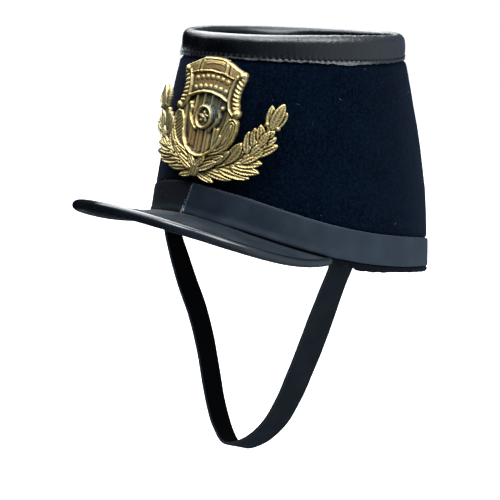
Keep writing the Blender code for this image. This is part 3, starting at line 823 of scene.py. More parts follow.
def build_strap(mat, inner_mat):
    """Flat strap with burnished round edges, hanging in one loop; only its lower part is twisted."""
    rows = [(-i, -x, y, z, -yaw, *rest) for i, (x, y, z, yaw, *rest) in enumerate(STRAP_ROUTE)][:0:-1]
    rows += [(i, *row) for i, row in enumerate(STRAP_ROUTE)]
    last, width = len(STRAP_ROUTE) - 1, STRAP_ROUTE[0][-1]
    at = np.linspace(-last, last, STRAP_STATIONS)
    centre = np.stack([table_value(rows, c, at) for c in (1, 2, 3)], -1)
    yaw, pitch = (np.radians(table_value(rows, c, at)) for c in (4, 5))
    yaw = yaw + STRAP_TWIST * (1 - smooth(*TWIST_ENDS, np.abs(at)))
    across = np.stack([np.sin(yaw) * np.cos(pitch), np.cos(yaw) * np.cos(pitch), np.sin(pitch)], -1)
    along = tangents(centre)
    across = square_to(along, across)
    out = unit(np.cross(along, across))[:, None]
    profile = strap_profile(width / 2)
    narrower = table_value(rows, 6, at)[:, None] / width
    points = shifted(centre[:, None], across[:, None], profile[:, 0] * narrower)
    points = shifted(points, out, profile[:, 1])
    points = shifted(points, out, lumps(points, *STRAP_WAVES))
    burnished = 1 - smooth(*STRAP_WORN_EDGE, width / 2 - np.abs(profile[:, :1].T))
    strap = mesh_piece("strap_leather", points, swept_faces(points), mat, "chin_strap",
                       {"edge": marked(points, burnished)}, 60.0)
    strap.data.materials.append(inner_mat)
    inner_face = range(len(profile) // 2, len(profile) // 2 + STRAP_COLUMNS - 1)
    for face in strap.data.polygons:
        face.material_index = int(face.index % len(profile) in inner_face)
    return strap


# ---------------- badge
# Lines of the badge's flat drawing are points of (across, depth); most are drawn for one side only.

BADGE_STAND = 2.4
BADGE_SHIFT = 2.6
BADGE_HALF_WIDTH = 44.0
BADGE_SIDE_LIFT = 4.6
BADGE_TILT = radians(2.7)
BADGE_PIVOT = (1.0, 45.0)
POST_DEPTHS = (28.0, 72.0)
POST_RADIUS = 1.5
POST_CHAMFER = 0.3
POST_SIDES = 20
POST_ROOT = 0.6

CAST_STEP = 0.27
CAST_CORNER = np.array([-47.0, 10.0])
CAST_FAR_CORNER = np.array([47.0, 82.0])
LEAST_METAL = 0.3
SHORT_BRANCH = 0.92
SHIELD_OUTLINE = (
    (0.0, 12.6), (4.5, 12.8), (6.3, 13.6), (11.0, 15.2), (15.0, 17.6), (18.2, 18.6), (19.6, 20.4),
    (18.8, 22.6), (18.4, 26.0), (17.9, 31.0), (18.3, 36.0), (20.2, 38.8), (20.7, 41.2), (19.4, 43.0),
    (20.8, 44.8), (21.3, 48.2), (20.5, 53.0), (18.9, 57.2), (16.0, 61.0), (12.0, 63.6), (6.0, 66.1),
    (0.0, 67.0),
)
FIELD_OUTLINE = (
    (0.0, 30.9), (5.0, 31.4), (9.0, 32.7), (12.2, 34.6), (13.6, 38.6), (13.4, 45.0), (12.0, 52.0),
    (10.6, 57.4), (7.6, 61.6), (4.0, 64.0), (0.0, 65.0),
)
LAUREL = (
    # root across, depth, tip across, depth, half width, lift
    (0.0, 74.5, 12.5, 78.6, 1.9, 0.2),
    (5.0, 72.5, 22.8, 75.4, 2.3, 0.5),
    (13.5, 70.0, 32.4, 73.2, 2.8, 0.3),
    (20.5, 68.5, 37.0, 69.6, 2.7, 0.7),
    (22.5, 66.2, 37.6, 64.4, 2.5, 0.4),
    (30.0, 61.5, 43.7, 54.0, 2.8, 0.6),
    (33.5, 56.6, 42.0, 50.0, 2.3, 0.4),
    (35.6, 51.4, 40.6, 46.6, 1.8, 0.6),
    (9.0, 69.4, 21.0, 65.0, 2.0, 0.3),
    (22.0, 65.0, 26.6, 54.6, 2.2, 0.3),
    (18.0, 67.0, 25.0, 55.0, 3.1, 0.7),
    (28.4, 60.6, 27.0, 48.4, 2.3, 0.3),
    (31.4, 57.0, 29.8, 46.2, 2.2, 0.6),
    (34.6, 54.0, 32.5, 44.2, 2.2, 0.4),
    (26.5, 65.4, 36.8, 58.0, 2.3, 0.8),
    (30.5, 61.0, 37.6, 52.4, 2.2, 0.9),
    (34.0, 56.0, 37.4, 47.4, 1.9, 1.0),
    (37.3, 46.4, 36.0, 33.6, 2.3, 0.4),
    (39.3, 46.0, 44.5, 36.6, 2.4, 0.5),
    (38.3, 46.2, 42.0, 32.2, 2.8, 0.8),
)
LOWER_LEAVES = (
    # the same, for the leaves below the shield, on either side of the tie
    (8.6, 69.6, 19.0, 60.4, 2.5, 0.5),
    (3.4, 70.6, 16.4, 63.2, 2.6, 0.9),
    (1.4, 73.0, 13.2, 66.8, 2.2, 1.2),
    (0.4, 71.4, 5.2, 64.8, 2.0, 1.5),
)
LEAF_RISE = 1.7
LAUREL_STEM = ((-3.0, 74.5), (9.0, 71.6), (18.0, 69.2), (24.6, 65.2), (31.0, 58.8), (35.4, 51.4),
               (37.8, 45.0))
BERRIES = ((35.6, 43.6), (41.6, 45.4))
TIE = (0.0, 73.4)
TOP_EDGE = ((-18.6, 19.0), (-12.4, 16.2), (-8.4, 14.4), (-6.4, 13.5), (0.0, 13.2), (5.2, 13.4),
            (7.6, 14.4), (12.6, 17.0), (17.6, 19.4))
RIBBON = ((-15.6, 20.3), (-12.0, 19.3), (-8.2, 17.9), (-4.0, 16.8), (0.0, 16.4), (4.0, 16.7),
          (7.4, 17.8), (11.0, 19.2), (15.0, 20.4))
RIBBON_FOOT = ((-14.6, 22.6), (-8.9, 20.7), (-1.0, 19.6), (6.1, 20.4), (13.2, 22.6))
RIBBON_CREASE = ((-5.6, 16.6), (-1.0, 15.4), (3.6, 15.6), (5.6, 16.2))
FOLD = ((7.0, 13.6), (7.7, 16.6), (7.9, 20.6))
FOLD_GROOVE = ((9.0, 14.9), (9.5, 18.0), (9.6, 20.8))
FOLD_BACK = ((10.4, 15.6), (10.2, 18.4), (10.6, 21.0))
ARCH = ((-12.4, 34.5), (-8.1, 32.4), (-3.2, 31.0), (2.1, 30.9), (7.6, 32.2), (12.2, 34.5))
INNER_BORDER = ((15.0, 21.0), (13.6, 24.4), (12.8, 29.0), (12.8, 34.0), (14.0, 38.4), (16.6, 41.4),
                (18.8, 41.0))
ROPE_BORDER = ((18.0, 22.4), (16.9, 26.0), (16.3, 30.0), (16.5, 34.0), (17.6, 37.6))
LOBE_EDGE = ((15.6, 43.8), (18.2, 43.4), (20.0, 45.2), (20.3, 49.6), (19.2, 54.4), (16.9, 58.6),
             (13.2, 61.8), (7.6, 63.9))
LOBE_INNER = ((15.6, 43.8), (13.6, 47.4), (12.3, 51.6), (11.0, 56.4), (8.2, 60.6))
RIM_LINE = ((-12.2, 53.0), (-11.4, 57.4), (-8.4, 61.7), (-4.3, 64.6), (0.0, 65.6), (4.3, 64.6),
            (8.4, 61.7), (11.4, 57.4), (12.2, 53.0))
CURLS = ((17.8, 20.6, 2.2), (18.6, 40.6, 2.3))
CURL_GROOVE = ((-0.9, 0.9), (0.3, 1.1), (0.9, -0.1))
SIDE_SCROLL = ((10.4, 38.6), (9.0, 40.6), (9.6, 43.4), (8.8, 46.2), (6.6, 48.8), (4.6, 51.2))
PELLETS = 7
PELLET_PITCH = 3.25
PELLET_ROWS = (23.0, 28.2)
PELLET_BOW = 0.018
FLUTES = (-7.5, -2.5, 2.5, 7.5)
RING_CENTRE = (0.0, 44.4)
RING_RADIUS = 4.5
RING_STRETCH = 1.28
PETALS = 5
PETAL_LENGTH = 3.3


def badge_points(across, depth, out):
    """Points of the flat badge drawing on the front of the crown, as the CAD badge is bent."""
    out = out + BADGE_STAND + BADGE_SIDE_LIFT * (across / BADGE_HALF_WIDTH) ** 2
    across = across + BADGE_SHIFT
    angles = np.radians(np.arange(0, 76, 1.5))
    levels = np.linspace(5, 90, 18)
    lines = wall(angles[None, :], levels[:, None], BADGE_STAND)
    turns = np.array([np.interp(np.abs(across), run_along(line), angles) for line in lines])
    place = (depth - levels[0]) / (levels[1] - levels[0])
    row = np.clip(place.astype(int), 0, len(levels) - 2)
    each = np.arange(len(across))
    phi = turns[row, each] + (turns[row + 1, each] - turns[row, each]) * (place - row)
    return wall(np.sign(across) * phi, depth, out)


def tilted(x, y):
    """Drawing coordinates on the hat, where the badge sits a little askew."""
    dx, dy = x, y - BADGE_PIVOT[1]
    return (BADGE_PIVOT[0] + dx * cos(BADGE_TILT) - dy * sin(BADGE_TILT),
            BADGE_PIVOT[1] + dx * sin(BADGE_TILT) + dy * cos(BADGE_TILT))


def mirrored(line, side):
    """Line of the drawing on one side of the badge, 1 or -1."""
    return [(x * side, y) for x, y in line]


def softened(field, passes=1):
    """Field with each point eased towards its neighbours."""
    for _ in range(passes):
        for axis in (0, 1):
            field = (field + np.roll(field, 1, axis) + np.roll(field, -1, axis)) / 3
    return field


class Relief:
    """Height of the casting over its flat drawing, in millimetres; below zero there is no metal."""

    def __init__(self):
        bounds = zip(CAST_CORNER, CAST_FAR_CORNER)
        self.x, self.y = np.meshgrid(*(np.arange(low, high, CAST_STEP) for low, high in bounds))
        self.height = np.full(self.x.shape, -1.0)

    def window(self, line, reach):
        """Slices of the grid round a line of points."""
        low = (np.min(line, 0) - reach - CAST_CORNER) / CAST_STEP
        high = (np.max(line, 0) + reach - CAST_CORNER) / CAST_STEP
        columns, rows = (slice(max(int(a), 0), int(b) + 2) for a, b in zip(low, high))
        return rows, columns

    def along(self, line, reach):
        """Window, run along a line, signed distance off it and the line's length."""
        line = np.array(line, float)
        area = self.window(line, reach)
        p = np.stack([self.x[area], self.y[area]], -1)[..., None, :]
        start, step = line[:-1], np.diff(line, axis=0)
        size = np.linalg.norm(step, axis=1)
        share = np.clip(((p - start) * step).sum(-1) / size ** 2, 0, 1)
        gap = p - start - step * share[..., None]
        far = np.linalg.norm(gap, axis=-1)
        near = far.argmin(-1)[..., None]
        side = np.sign(step[:, 0] * gap[..., 1] - step[:, 1] * gap[..., 0])
        run = run_along(line)[:-1] + share * size
        run, far, side = (np.take_along_axis(each, near, -1)[..., 0] for each in (run, far, side))
        return area, run, far * side, size.sum()

    def within(self, ring, reach):
        """Window round a closed outline, what lies inside it and the distance off its edge."""
        area, _, off, _ = self.along(np.concatenate([ring, ring[:1]]), reach)
        x, y = self.x[area], self.y[area]
        inside = np.zeros(x.shape, bool)
        for (x0, y0), (x1, y1) in zip(ring, np.roll(ring, -1, 0)):
            crosses = (y0 > y) != (y1 > y)
            inside ^= crosses & (x < (x1 - x0) * (y - y0) / (y1 - y0 + 1e-9) + x0)
        return area, inside, np.abs(off)

    def lift(self, area, inside, height):
        """Raises what is lower than a form to its height."""
        self.height[area] = np.where(inside, np.maximum(self.height[area], height), self.height[area])

    def lay(self, area, inside, height, margin):
        """Lays a form over what is there, with a dark line cut round it."""
        now = self.height[area]
        cut = (margin & ~inside) & (now > 0.5)
        now = np.where(cut, np.maximum(now - 0.8, 0.4), now)
        self.height[area] = np.where(inside, height, now)

    def ridge(self, line, half_width, low, high, taper=0.0, flat=2, beads=0.0, slant=0.0):
        """Rounded bar along a line: tapered to its ends, flat-topped or cut into slanting beads."""
        area, run, off, length = self.along(line, half_width)
        width = half_width * (1 - taper * np.abs(2 * run / length - 1) ** 3)
        share = np.clip(np.abs(off) / width, 0, 1)
        crest = low + (high - low) * np.sqrt(1 - share ** flat)
        if beads:
            wave = 0.5 + 0.5 * np.cos(2 * pi * (run + slant * off) / beads)
            crest = crest - (high - low) * 0.55 * (1 - wave ** 0.6)
        self.lift(area, np.abs(off) < width, crest)

    def groove(self, line, half_width, depth):
        """Rounded furrow along a line, which never cuts through the metal."""
        area, _, off, _ = self.along(line, half_width * 2)
        now = self.height[area]
        cut = depth * bump(off, 0.0, half_width)
        self.height[area] = np.where(now > 0, np.maximum(now - cut, LEAST_METAL), now)

    def dome(self, x, y, radius, low, high, dimple=0.0):
        """Round boss, with a dimple in the middle where one is asked for."""
        area = self.window(np.array([(x, y)]), radius)
        far = np.hypot(self.x[area] - x, self.y[area] - y) / radius
        height = low + (high - low) * np.sqrt(np.clip(1 - far ** 2, 0, 1)) - dimple * bump(far, 0.0, 0.45)
        self.lift(area, far < 1, height)

    def half_outline(self, half, reach):
        """The same as within, for a symmetrical outline given by one half."""
        mirror = [(-x, y) for x, y in half if x > 0][::-1]
        return self.within(np.array([*half, *mirror]), reach)

    def plate(self, outline, level, bevel):
        """Flat plate, rounded at its edge."""
        area, inside, far = self.half_outline(outline, bevel + 1.0)
        self.lift(area, inside, level * (0.35 + 0.65 * np.sqrt(smooth(0.0, bevel, far))))

    def sink(self, outline, level, bevel):
        """Brings what lies inside an outline down to a level."""
        area, inside, far = self.half_outline(outline, bevel + 1.0)
        now = self.height[area]
        self.height[area] = np.where(inside, now + (level - now) * smooth(0.0, bevel, far), now)

    def leaf(self, root, tip, half_width, base, rise, tilt=0.25, veins=1.7):
        """Pointed leaf: raised outline, hollow on each side of a midrib, fine slanting veins."""
        area = self.window(np.array([root, tip], float), half_width + 1.5)
        dx, dy = tip[0] - root[0], tip[1] - root[1]
        length = np.hypot(dx, dy)
        px, py = self.x[area] - root[0], self.y[area] - root[1]
        run = (px * dx + py * dy) / length
        off = (py * dx - px * dy) / length
        share = np.clip(run / length, 1e-4, 1 - 1e-4)
        width = 2.62 * half_width * share ** 0.6 * (1 - share) ** 0.7
        within = (run > 0) & (run < length)
        u = np.abs(off) / np.maximum(width, 0.05)
        outline = 0.26 * bump(u, 0.80, 0.13) - 0.62 * smooth(0.88, 1.0, u)
        hollow = 0.30 * bump(u, 0.42, 0.24)
        midrib = 0.30 * bump(off, 0.0, 0.30) * smooth(0.02, 0.1, share)
        veined = 0.10 * np.cos(2 * pi * (run - np.abs(off) * 0.9) / veins) * bump(u, 0.46, 0.3)
        form = 0.80 + outline - hollow + midrib + veined + tilt * off / half_width * 0.6
        self.lay(area, within & (u < 1), base + rise * form, within & (np.abs(off) < width + 0.55))


def laurel_branch(relief, side):
    """One branch of the wreath; the wearer's right one is a little shorter."""
    scale = side if side > 0 else side * SHORT_BRANCH
    relief.ridge(mirrored(LAUREL_STEM, scale), 1.0, 0.6, 2.4)
    for k, (x0, y0, x1, y1, half_width, lift) in enumerate(LAUREL):
        tilt = 0.30 * side * (-1) ** k
        relief.leaf((x0 * scale, y0), (x1 * scale, y1), half_width, 0.5 + lift, LEAF_RISE, tilt)
    for x, y in BERRIES:
        relief.dome(x * scale, y, 1.35, 0.6, 2.9)
    for x0, y0, x1, y1, half_width, lift in LOWER_LEAVES:
        relief.leaf((x0 * side, y0), (x1 * side, y1), half_width, 1.2 + lift, LEAF_RISE)


def shield_border(relief, side):
    """One side of the shield's border: a roped band between two curls, and a feathered lobe."""
    relief.ridge(mirrored(INNER_BORDER, side), 0.8, 2.6, 4.5, taper=0.3)
    relief.ridge(mirrored(ROPE_BORDER, side), 2.0, 2.2, 4.3, beads=2.25, slant=0.45 * side)
    feathered_lobe(relief, mirrored(LOBE_EDGE, side), mirrored(LOBE_INNER, side), side)
    for x, y, radius in CURLS:
        relief.dome(x * side, y, radius, 2.4, 4.8)
        relief.groove([((x + dx) * side, y + dy) for dx, dy in CURL_GROOVE], 0.35, 0.8)


def feathered_lobe(relief, edge, inner, side):
    """Lobe at the shield's foot: ribbed along its edge at the wearer's left, slantwise at the right."""
    area, inside, far = relief.within(np.array(edge + inner[:0:-1], float), 1.0)
    if side > 0:
        ribs = np.cos(2 * pi * far / 1.5)
    else:
        ribs = 0.6 * np.cos(2 * pi * (relief.x[area] * 0.9 + relief.y[area]) / 2.2)
    relief.lay(area, inside, 2.5 + 0.9 * smooth(0.0, 0.9, far) + 0.46 * ribs, ~inside & (far < 0.4))
    relief.ridge(edge, 0.6, 2.5, 4.3, taper=0.4)
    relief.ridge(inner, 0.5, 2.5, 4.2, taper=0.4)


def shield_face(relief):
    """Blank ribbon, two rows of pellets, arch and fluted field."""
    relief.ridge(RIBBON, 2.8, 2.6, 3.6, flat=8)
    relief.ridge(TOP_EDGE, 0.45, 2.4, 3.9, taper=0.2)
    relief.ridge(RIBBON_FOOT, 0.45, 2.6, 4.2, taper=0.3)
    relief.ridge(RIBBON_CREASE, 0.4, 2.8, 4.0, taper=0.6)
    for side in (-1, 1):
        relief.ridge(mirrored(FOLD, side), 0.55, 3.0, 4.5)
        relief.groove(mirrored(FOLD_GROOVE, side), 0.4, 0.8)
        relief.ridge(mirrored(FOLD_BACK, side), 0.4, 3.0, 4.1)
        relief.dome(side * 7.8, 20.6, 1.0, 2.6, 4.6)
    for depth in PELLET_ROWS:
        for k in range(PELLETS):
            x = (k - (PELLETS - 1) / 2) * PELLET_PITCH
            relief.dome(x, depth + PELLET_BOW * x * x, 1.3, 2.3, 3.9, 0.7)
    relief.sink(FIELD_OUTLINE, 1.5, 0.8)
    for x in FLUTES:
        foot = 64.2 - 0.07 * x * x
        relief.ridge([(x, 32.0 + 0.03 * x * x), (x * 1.02, foot)], 0.5, 1.5, 3.0)
        relief.ridge([(x + 1.5, 50.5), (x * 1.02 + 1.5, foot)], 1.3, 1.4, 2.4)
    relief.ridge(ARCH, 0.8, 2.5, 4.4)
    relief.ridge(RIM_LINE, 0.8, 2.3, 4.5, taper=0.2)


def rosette(relief):
    """Five petals and a boss inside a ring, between two plain C-scrolls."""
    x, y = RING_CENTRE
    for side in (-1, 1):
        scroll = mirrored(SIDE_SCROLL, side)
        relief.ridge(scroll, 1.0, 1.6, 4.1, taper=0.35)
        relief.dome(*scroll[0], 1.5, 1.8, 4.4, 0.5)
        relief.dome(*scroll[-1], 1.2, 1.8, 4.1, 0.4)
    relief.dome(x, y, RING_RADIUS + 0.6, 2.6, 3.0)
    turns = np.linspace(0, 2 * pi, 33)
    ring = [(x + RING_RADIUS * cos(a), y + RING_RADIUS * RING_STRETCH * sin(a)) for a in turns]
    relief.ridge(ring, 0.95, 2.4, 4.8)
    for k in range(PETALS):
        turn = 2 * pi * k / PETALS - pi / 2
        tip = (x + PETAL_LENGTH * cos(turn), y + PETAL_LENGTH * sin(turn))
        relief.leaf((x, y), tip, 1.15, 3.0, 1.2, 0.0)
    relief.dome(x, y, 0.85, 3.4, 4.5)


def ribbon_tie(relief):
    """Three-stranded tie where the two branches cross."""
    x, y = TIE
    relief.dome(x, y, 3.2, 1.5, 3.9)
    for k in (-1, 0, 1):
        strand = [(1.5 * k + 0.6, y - 2.8), (1.7 * k, y), (1.5 * k - 0.8, y + 2.8)]
        relief.ridge(strand, 0.8, 1.5, 4.6 - 0.3 * abs(k))


def cast_relief():
    """The whole face of the badge, with the slight softness and grain of a casting."""
    relief = Relief()
    for side in (-1, 1):
        laurel_branch(relief, side)
    relief.plate(SHIELD_OUTLINE, 2.8, 1.1)
    for side in (-1, 1):
        shield_border(relief, side)
    shield_face(relief)
    rosette(relief)
    ribbon_tie(relief)
    grain = lumps(np.stack([relief.x, relief.y, 0 * relief.x], -1), 1.3, 0.06)
    metal = relief.height > 0
    eased = softened(np.where(metal, relief.height, LEAST_METAL))
    relief.height = np.where(metal, np.maximum(eased + grain, 0.25), relief.height)
    return relief


def tidy_edge(relief, metal):
    """Grid coordinates with the stepped edge of the metal drawn out to a smooth line."""
    cover = softened(metal.astype(float), 2)
    slope_y, slope_x = np.gradient(cover)
    steep = np.maximum(np.hypot(slope_x, slope_y), 0.05)
    edge = metal & (softened(metal.astype(float)) < 0.999)
    push = np.where(edge, np.clip((cover - 0.5) / steep, -0.7, 0.7), 0.0) / steep * CAST_STEP
    return relief.x - push * slope_x, relief.y - push * slope_y


def metal_quads(metal):
    """Which grid points carry a face of metal, and the faces between them, numbered in that order."""
    full = metal[:-1, :-1] & metal[1:, :-1] & metal[:-1, 1:] & metal[1:, 1:]
    corners = [(rows, columns) for rows in (slice(None, -1), slice(1, None))
               for columns in (slice(None, -1), slice(1, None))]
    used = np.zeros(metal.shape, bool)
    for corner in corners:
        used[corner] |= full
    ids = np.full(metal.shape, -1)
    ids[used] = np.arange(used.sum())
    near_left, near_right, far_left, far_right = (ids[corner][full] for corner in corners)
    return used, np.stack([near_left, near_right, far_right, far_left], -1)


def badge_post(depth):
    """Rings of one post behind the badge, from its chamfered end to its root."""
    turn = np.arange(POST_SIDES) / POST_SIDES * 2 * pi
    end = GAP - BADGE_STAND
    rings = ((POST_RADIUS - POST_CHAMFER, end), (POST_RADIUS, end + POST_CHAMFER),
             (POST_RADIUS, POST_ROOT))
    return np.array([badge_points(size * np.cos(turn), depth + size * np.sin(turn), out + 0 * turn)
                     for size, out in rings])


def build_badge(mat):
    """The whole casting as one closed skin: modelled face, plain back and two posts."""
    relief = cast_relief()
    metal = relief.height > 0
    x, y = tidy_edge(relief, metal)
    detail = relief.height - softened(np.where(metal, relief.height, 0.5), 12)
    used, quads = metal_quads(metal)
    count = int(used.sum())
    across, depth = tilted(x[used], y[used])
    front = badge_points(across, depth, relief.height[used])
    back = badge_points(across, depth, np.zeros(count))
    starts, ends = quads.ravel(), np.roll(quads, -1, 1).ravel()
    rim = ~np.isin(starts * count + ends, ends * count + starts)
    skirt = np.stack([starts[rim], starts[rim] + count, ends[rim] + count, ends[rim]], -1)
    faces = flipped(np.concatenate([quads, quads[:, ::-1] + count, skirt]).tolist())
    posts = [badge_post(post_depth) for post_depth in POST_DEPTHS]
    post_points, post_faces = repeated(posts, flipped(swept_faces(posts[0])))
    faces += [[corner + 2 * count for corner in face] for face in post_faces]
    flat_x, flat_y = relief.x[used], relief.y[used]
    patina = bump(flat_x, 5.5, 6.5) * bump(flat_y, 40.0, 9.0) + 0.6 * bump(flat_x, -36.0, 9.0)
    copper = bump(flat_x, -4.0, 8.0) * bump(flat_y, 58.0, 8.0)
    copper += 0.5 * bump(flat_x, 0.0, 18.0) * bump(flat_y, 20.0, 8.0)
    hidden = np.zeros(count + len(post_points))
    marks = {"height_mark": np.r_[detail[used], hidden - 0.4], "patina": np.r_[patina, hidden],
             "copper": np.r_[copper, hidden]}
    return mesh_piece("badge_casting", np.concatenate([front, back, post_points]), faces, mat, "badge",
                      marks, 80.0)


# ---------------- materials

FELT_DARK = (0.0002, 0.0008, 0.0026)
FELT_LIGHT = (0.0004, 0.0016, 0.0046)
FELT_NAP_TIPS = (0.0017, 0.0058, 0.0135)
FELT_INSIDE = (0.004, 0.004, 0.006)
FELT_FRINGE = (0.0035, 0.0035, 0.0045)
FELT_SHEEN = (0.30, 0.36, 0.55)
LEATHERS = (
    # name, dark, light and scuffed colour, roughness, grain pitch, marks, grain depth, specular level
    ("glossy_black_leather", (0.0006, 0.0007, 0.0013), (0.0014, 0.0020, 0.0032), (0.02, 0.022, 0.026),
     0.20, 1.1, ("raw", "scuffed", "painted_shade"), 1.7, 0.55),
    ("bound_edge_leather", (0.0018, 0.0027, 0.0042), (0.0040, 0.0058, 0.0082), (0.012, 0.014, 0.018),
     0.17, 0.8, ("painted_shade",), 0.2, 0.6),
    ("peak_sheet_leather", (0.0085, 0.0120, 0.0165), (0.015, 0.020, 0.026), (0.04, 0.045, 0.05),
     0.34, 0.8, ("painted_shade",), 0.5, 0.4),
    ("satin_black_leather", (0.0076, 0.0134, 0.0212), (0.0130, 0.0198, 0.0298), (0.05, 0.055, 0.06),
     0.44, 0.9, ("raw", "brown", "painted_shade"), 0.6, 0.22),
)
RAW_DARK = (0.012, 0.014, 0.018)
RAW_PALE = (0.17, 0.18, 0.20)
RUBBED_PALE = (0.42, 0.43, 0.46)
# Darker, browner colour of the painted shade on the band's right front
BROWN_SHADE = (0.0074, 0.0078, 0.0112)
# Near-black colour of the painted shade in seams, grooves, slots and under the peak
PAINTED_SHADE_BLACK = (0.0008, 0.0008, 0.001)
MATT_DARK = (0.0006, 0.0006, 0.0009)
MATT_LIGHT = (0.002, 0.002, 0.0026)
STRAP_DARK = (0.0013, 0.0026, 0.0046)
STRAP_LIGHT = (0.0024, 0.0046, 0.0074)
STRAP_BURNISHED = (0.010, 0.014, 0.019)
BRASS_BRIGHT = ((0.55, 0.42, 0.17), (0.64, 0.53, 0.26))
BRASS_MIDDLE = ((0.42, 0.29, 0.12), (0.40, 0.33, 0.14))
BRASS_RECESS = ((0.050, 0.030, 0.014), (0.060, 0.070, 0.060))
PATINA_BRIGHT = (0.36, 0.32, 0.20)
PATINA_MIDDLE = (0.26, 0.27, 0.19)
PATINA_RECESS = (0.08, 0.115, 0.115)
COPPER_MIDDLE = (0.54, 0.27, 0.11)
FLOOR_GREY = (0.60, 0.60, 0.60)
WHITE = (1.0, 1.0, 1.0)
BLACK = (0.0, 0.0, 0.0)


class Nodes:
    """A material or world under construction: its shader and the nodes that feed it."""

    def __init__(self, owner, shader, coordinates):
        owner.use_nodes = True
        self.owner = owner
        self.tree = owner.node_tree
        self.shader = self.tree.nodes[shader]
        self.place = self.add("TexCoord").outputs[coordinates]

    def feed(self, socket, value):
        """Links a socket to another one, or sets its value."""
        if isinstance(value, bpy.types.NodeSocket):
            self.tree.links.new(value, socket)
        else:
            socket.default_value = (*value, 1.0) if socket.type == "RGBA" else value

    def add(self, kind, inputs=None, **settings):
        """Shader node with its inputs fed."""
        made = self.tree.nodes.new("ShaderNode" + kind)
        for name, value in settings.items():
            setattr(made, name, value)
        for key, value in (inputs or {}).items():
            self.feed(made.inputs[key], value)
        return made

    def noise(self, pitch, detail=3.0, rough=0.5, stretch=1.0):
        """Noise whose grains are pitch millimetres across, stretched upwards."""
        scaled = self.add("VectorMath", {0: self.place, 1: (1.0, 1.0, 1 / stretch)}, operation="MULTIPLY")
        made = self.add("TexNoise", {"Vector": scaled.outputs[0], "Scale": 1 / (pitch * MM),
                                     "Detail": detail, "Roughness": rough})
        return made.outputs["Fac"]

    def ranged(self, value, low, high, to_low=0.0, to_high=1.0):
        """Value from low to high brought to another range and kept within it."""
        made = self.add("MapRange", {"Value": value, "From Min": low, "From Max": high,
                                     "To Min": to_low, "To Max": to_high})
        return made.outputs["Result"]

    def mixed(self, share, first, second):
        """Colour between two others."""
        return self.add("Mix", {0: share, 6: first, 7: second}, data_type="RGBA").outputs[2]

    def math(self, operation, *values):
        """Result of an operation on values or sockets."""
        return self.add("Math", dict(enumerate(values)), operation=operation).outputs[0]

    def mark(self, name):
        """Value that the mesh carries at its points."""
        return self.add("Attribute", attribute_name=name).outputs["Fac"]

    def finish(self, colour, shine=None, bumps=()):
        """Feeds the shader, each bump as (height, strength, reach in millimetres); gives the owner."""
        self.feed(self.shader.inputs["Base Color"], colour)
        if shine:
            self.feed(self.shader.inputs["Roughness"], shine)
        for height, strength, reach in bumps:
            made = self.add("Bump", {"Height": height, "Strength": strength, "Distance": reach * MM})
            if self.shader.inputs["Normal"].links:
                self.feed(made.inputs["Normal"], self.shader.inputs["Normal"].links[0].from_socket)
            self.feed(self.shader.inputs["Normal"], made.outputs["Normal"])
        return self.owner


def new_material(name, **uniform):
    """Nodes of a new material; uniform values go straight on the shader's sockets."""
    nodes = Nodes(bpy.data.materials.new(name), "Principled BSDF", "Object")
    for key, value in uniform.items():
        nodes.feed(nodes.shader.inputs[key.replace("_", " ")], value)
    return nodes


def felt_material():
    """Dark blue felt with a paler nap, a greyer torn hem and a black inside."""
    nodes = new_material("navy_felt", Roughness=0.95, Specular_IOR_Level=0.01, Sheen_Weight=0.035,
                         Sheen_Roughness=0.45, Sheen_Tint=FELT_SHEEN)
    cloud = nodes.noise(22.0, 4.0)
    nap = nodes.noise(1.6, 6.0, 0.75)
    hairs = nodes.noise(0.5, 3.0, 0.6, 3.0)
    colour = nodes.mixed(nodes.ranged(cloud, 0.35, 0.65), FELT_DARK, FELT_LIGHT)
    colour = nodes.mixed(nodes.ranged(nap, 0.44, 0.70), colour, FELT_NAP_TIPS)
    colour = nodes.mixed(nodes.mark("inside"), colour, FELT_INSIDE)
    colour = nodes.mixed(nodes.mark("fringe"), colour, FELT_FRINGE)
    return nodes.finish(colour, None, ((cloud, 0.3, 0.8), (nap, 0.7, 0.35), (hairs, 0.5, 0.2)))


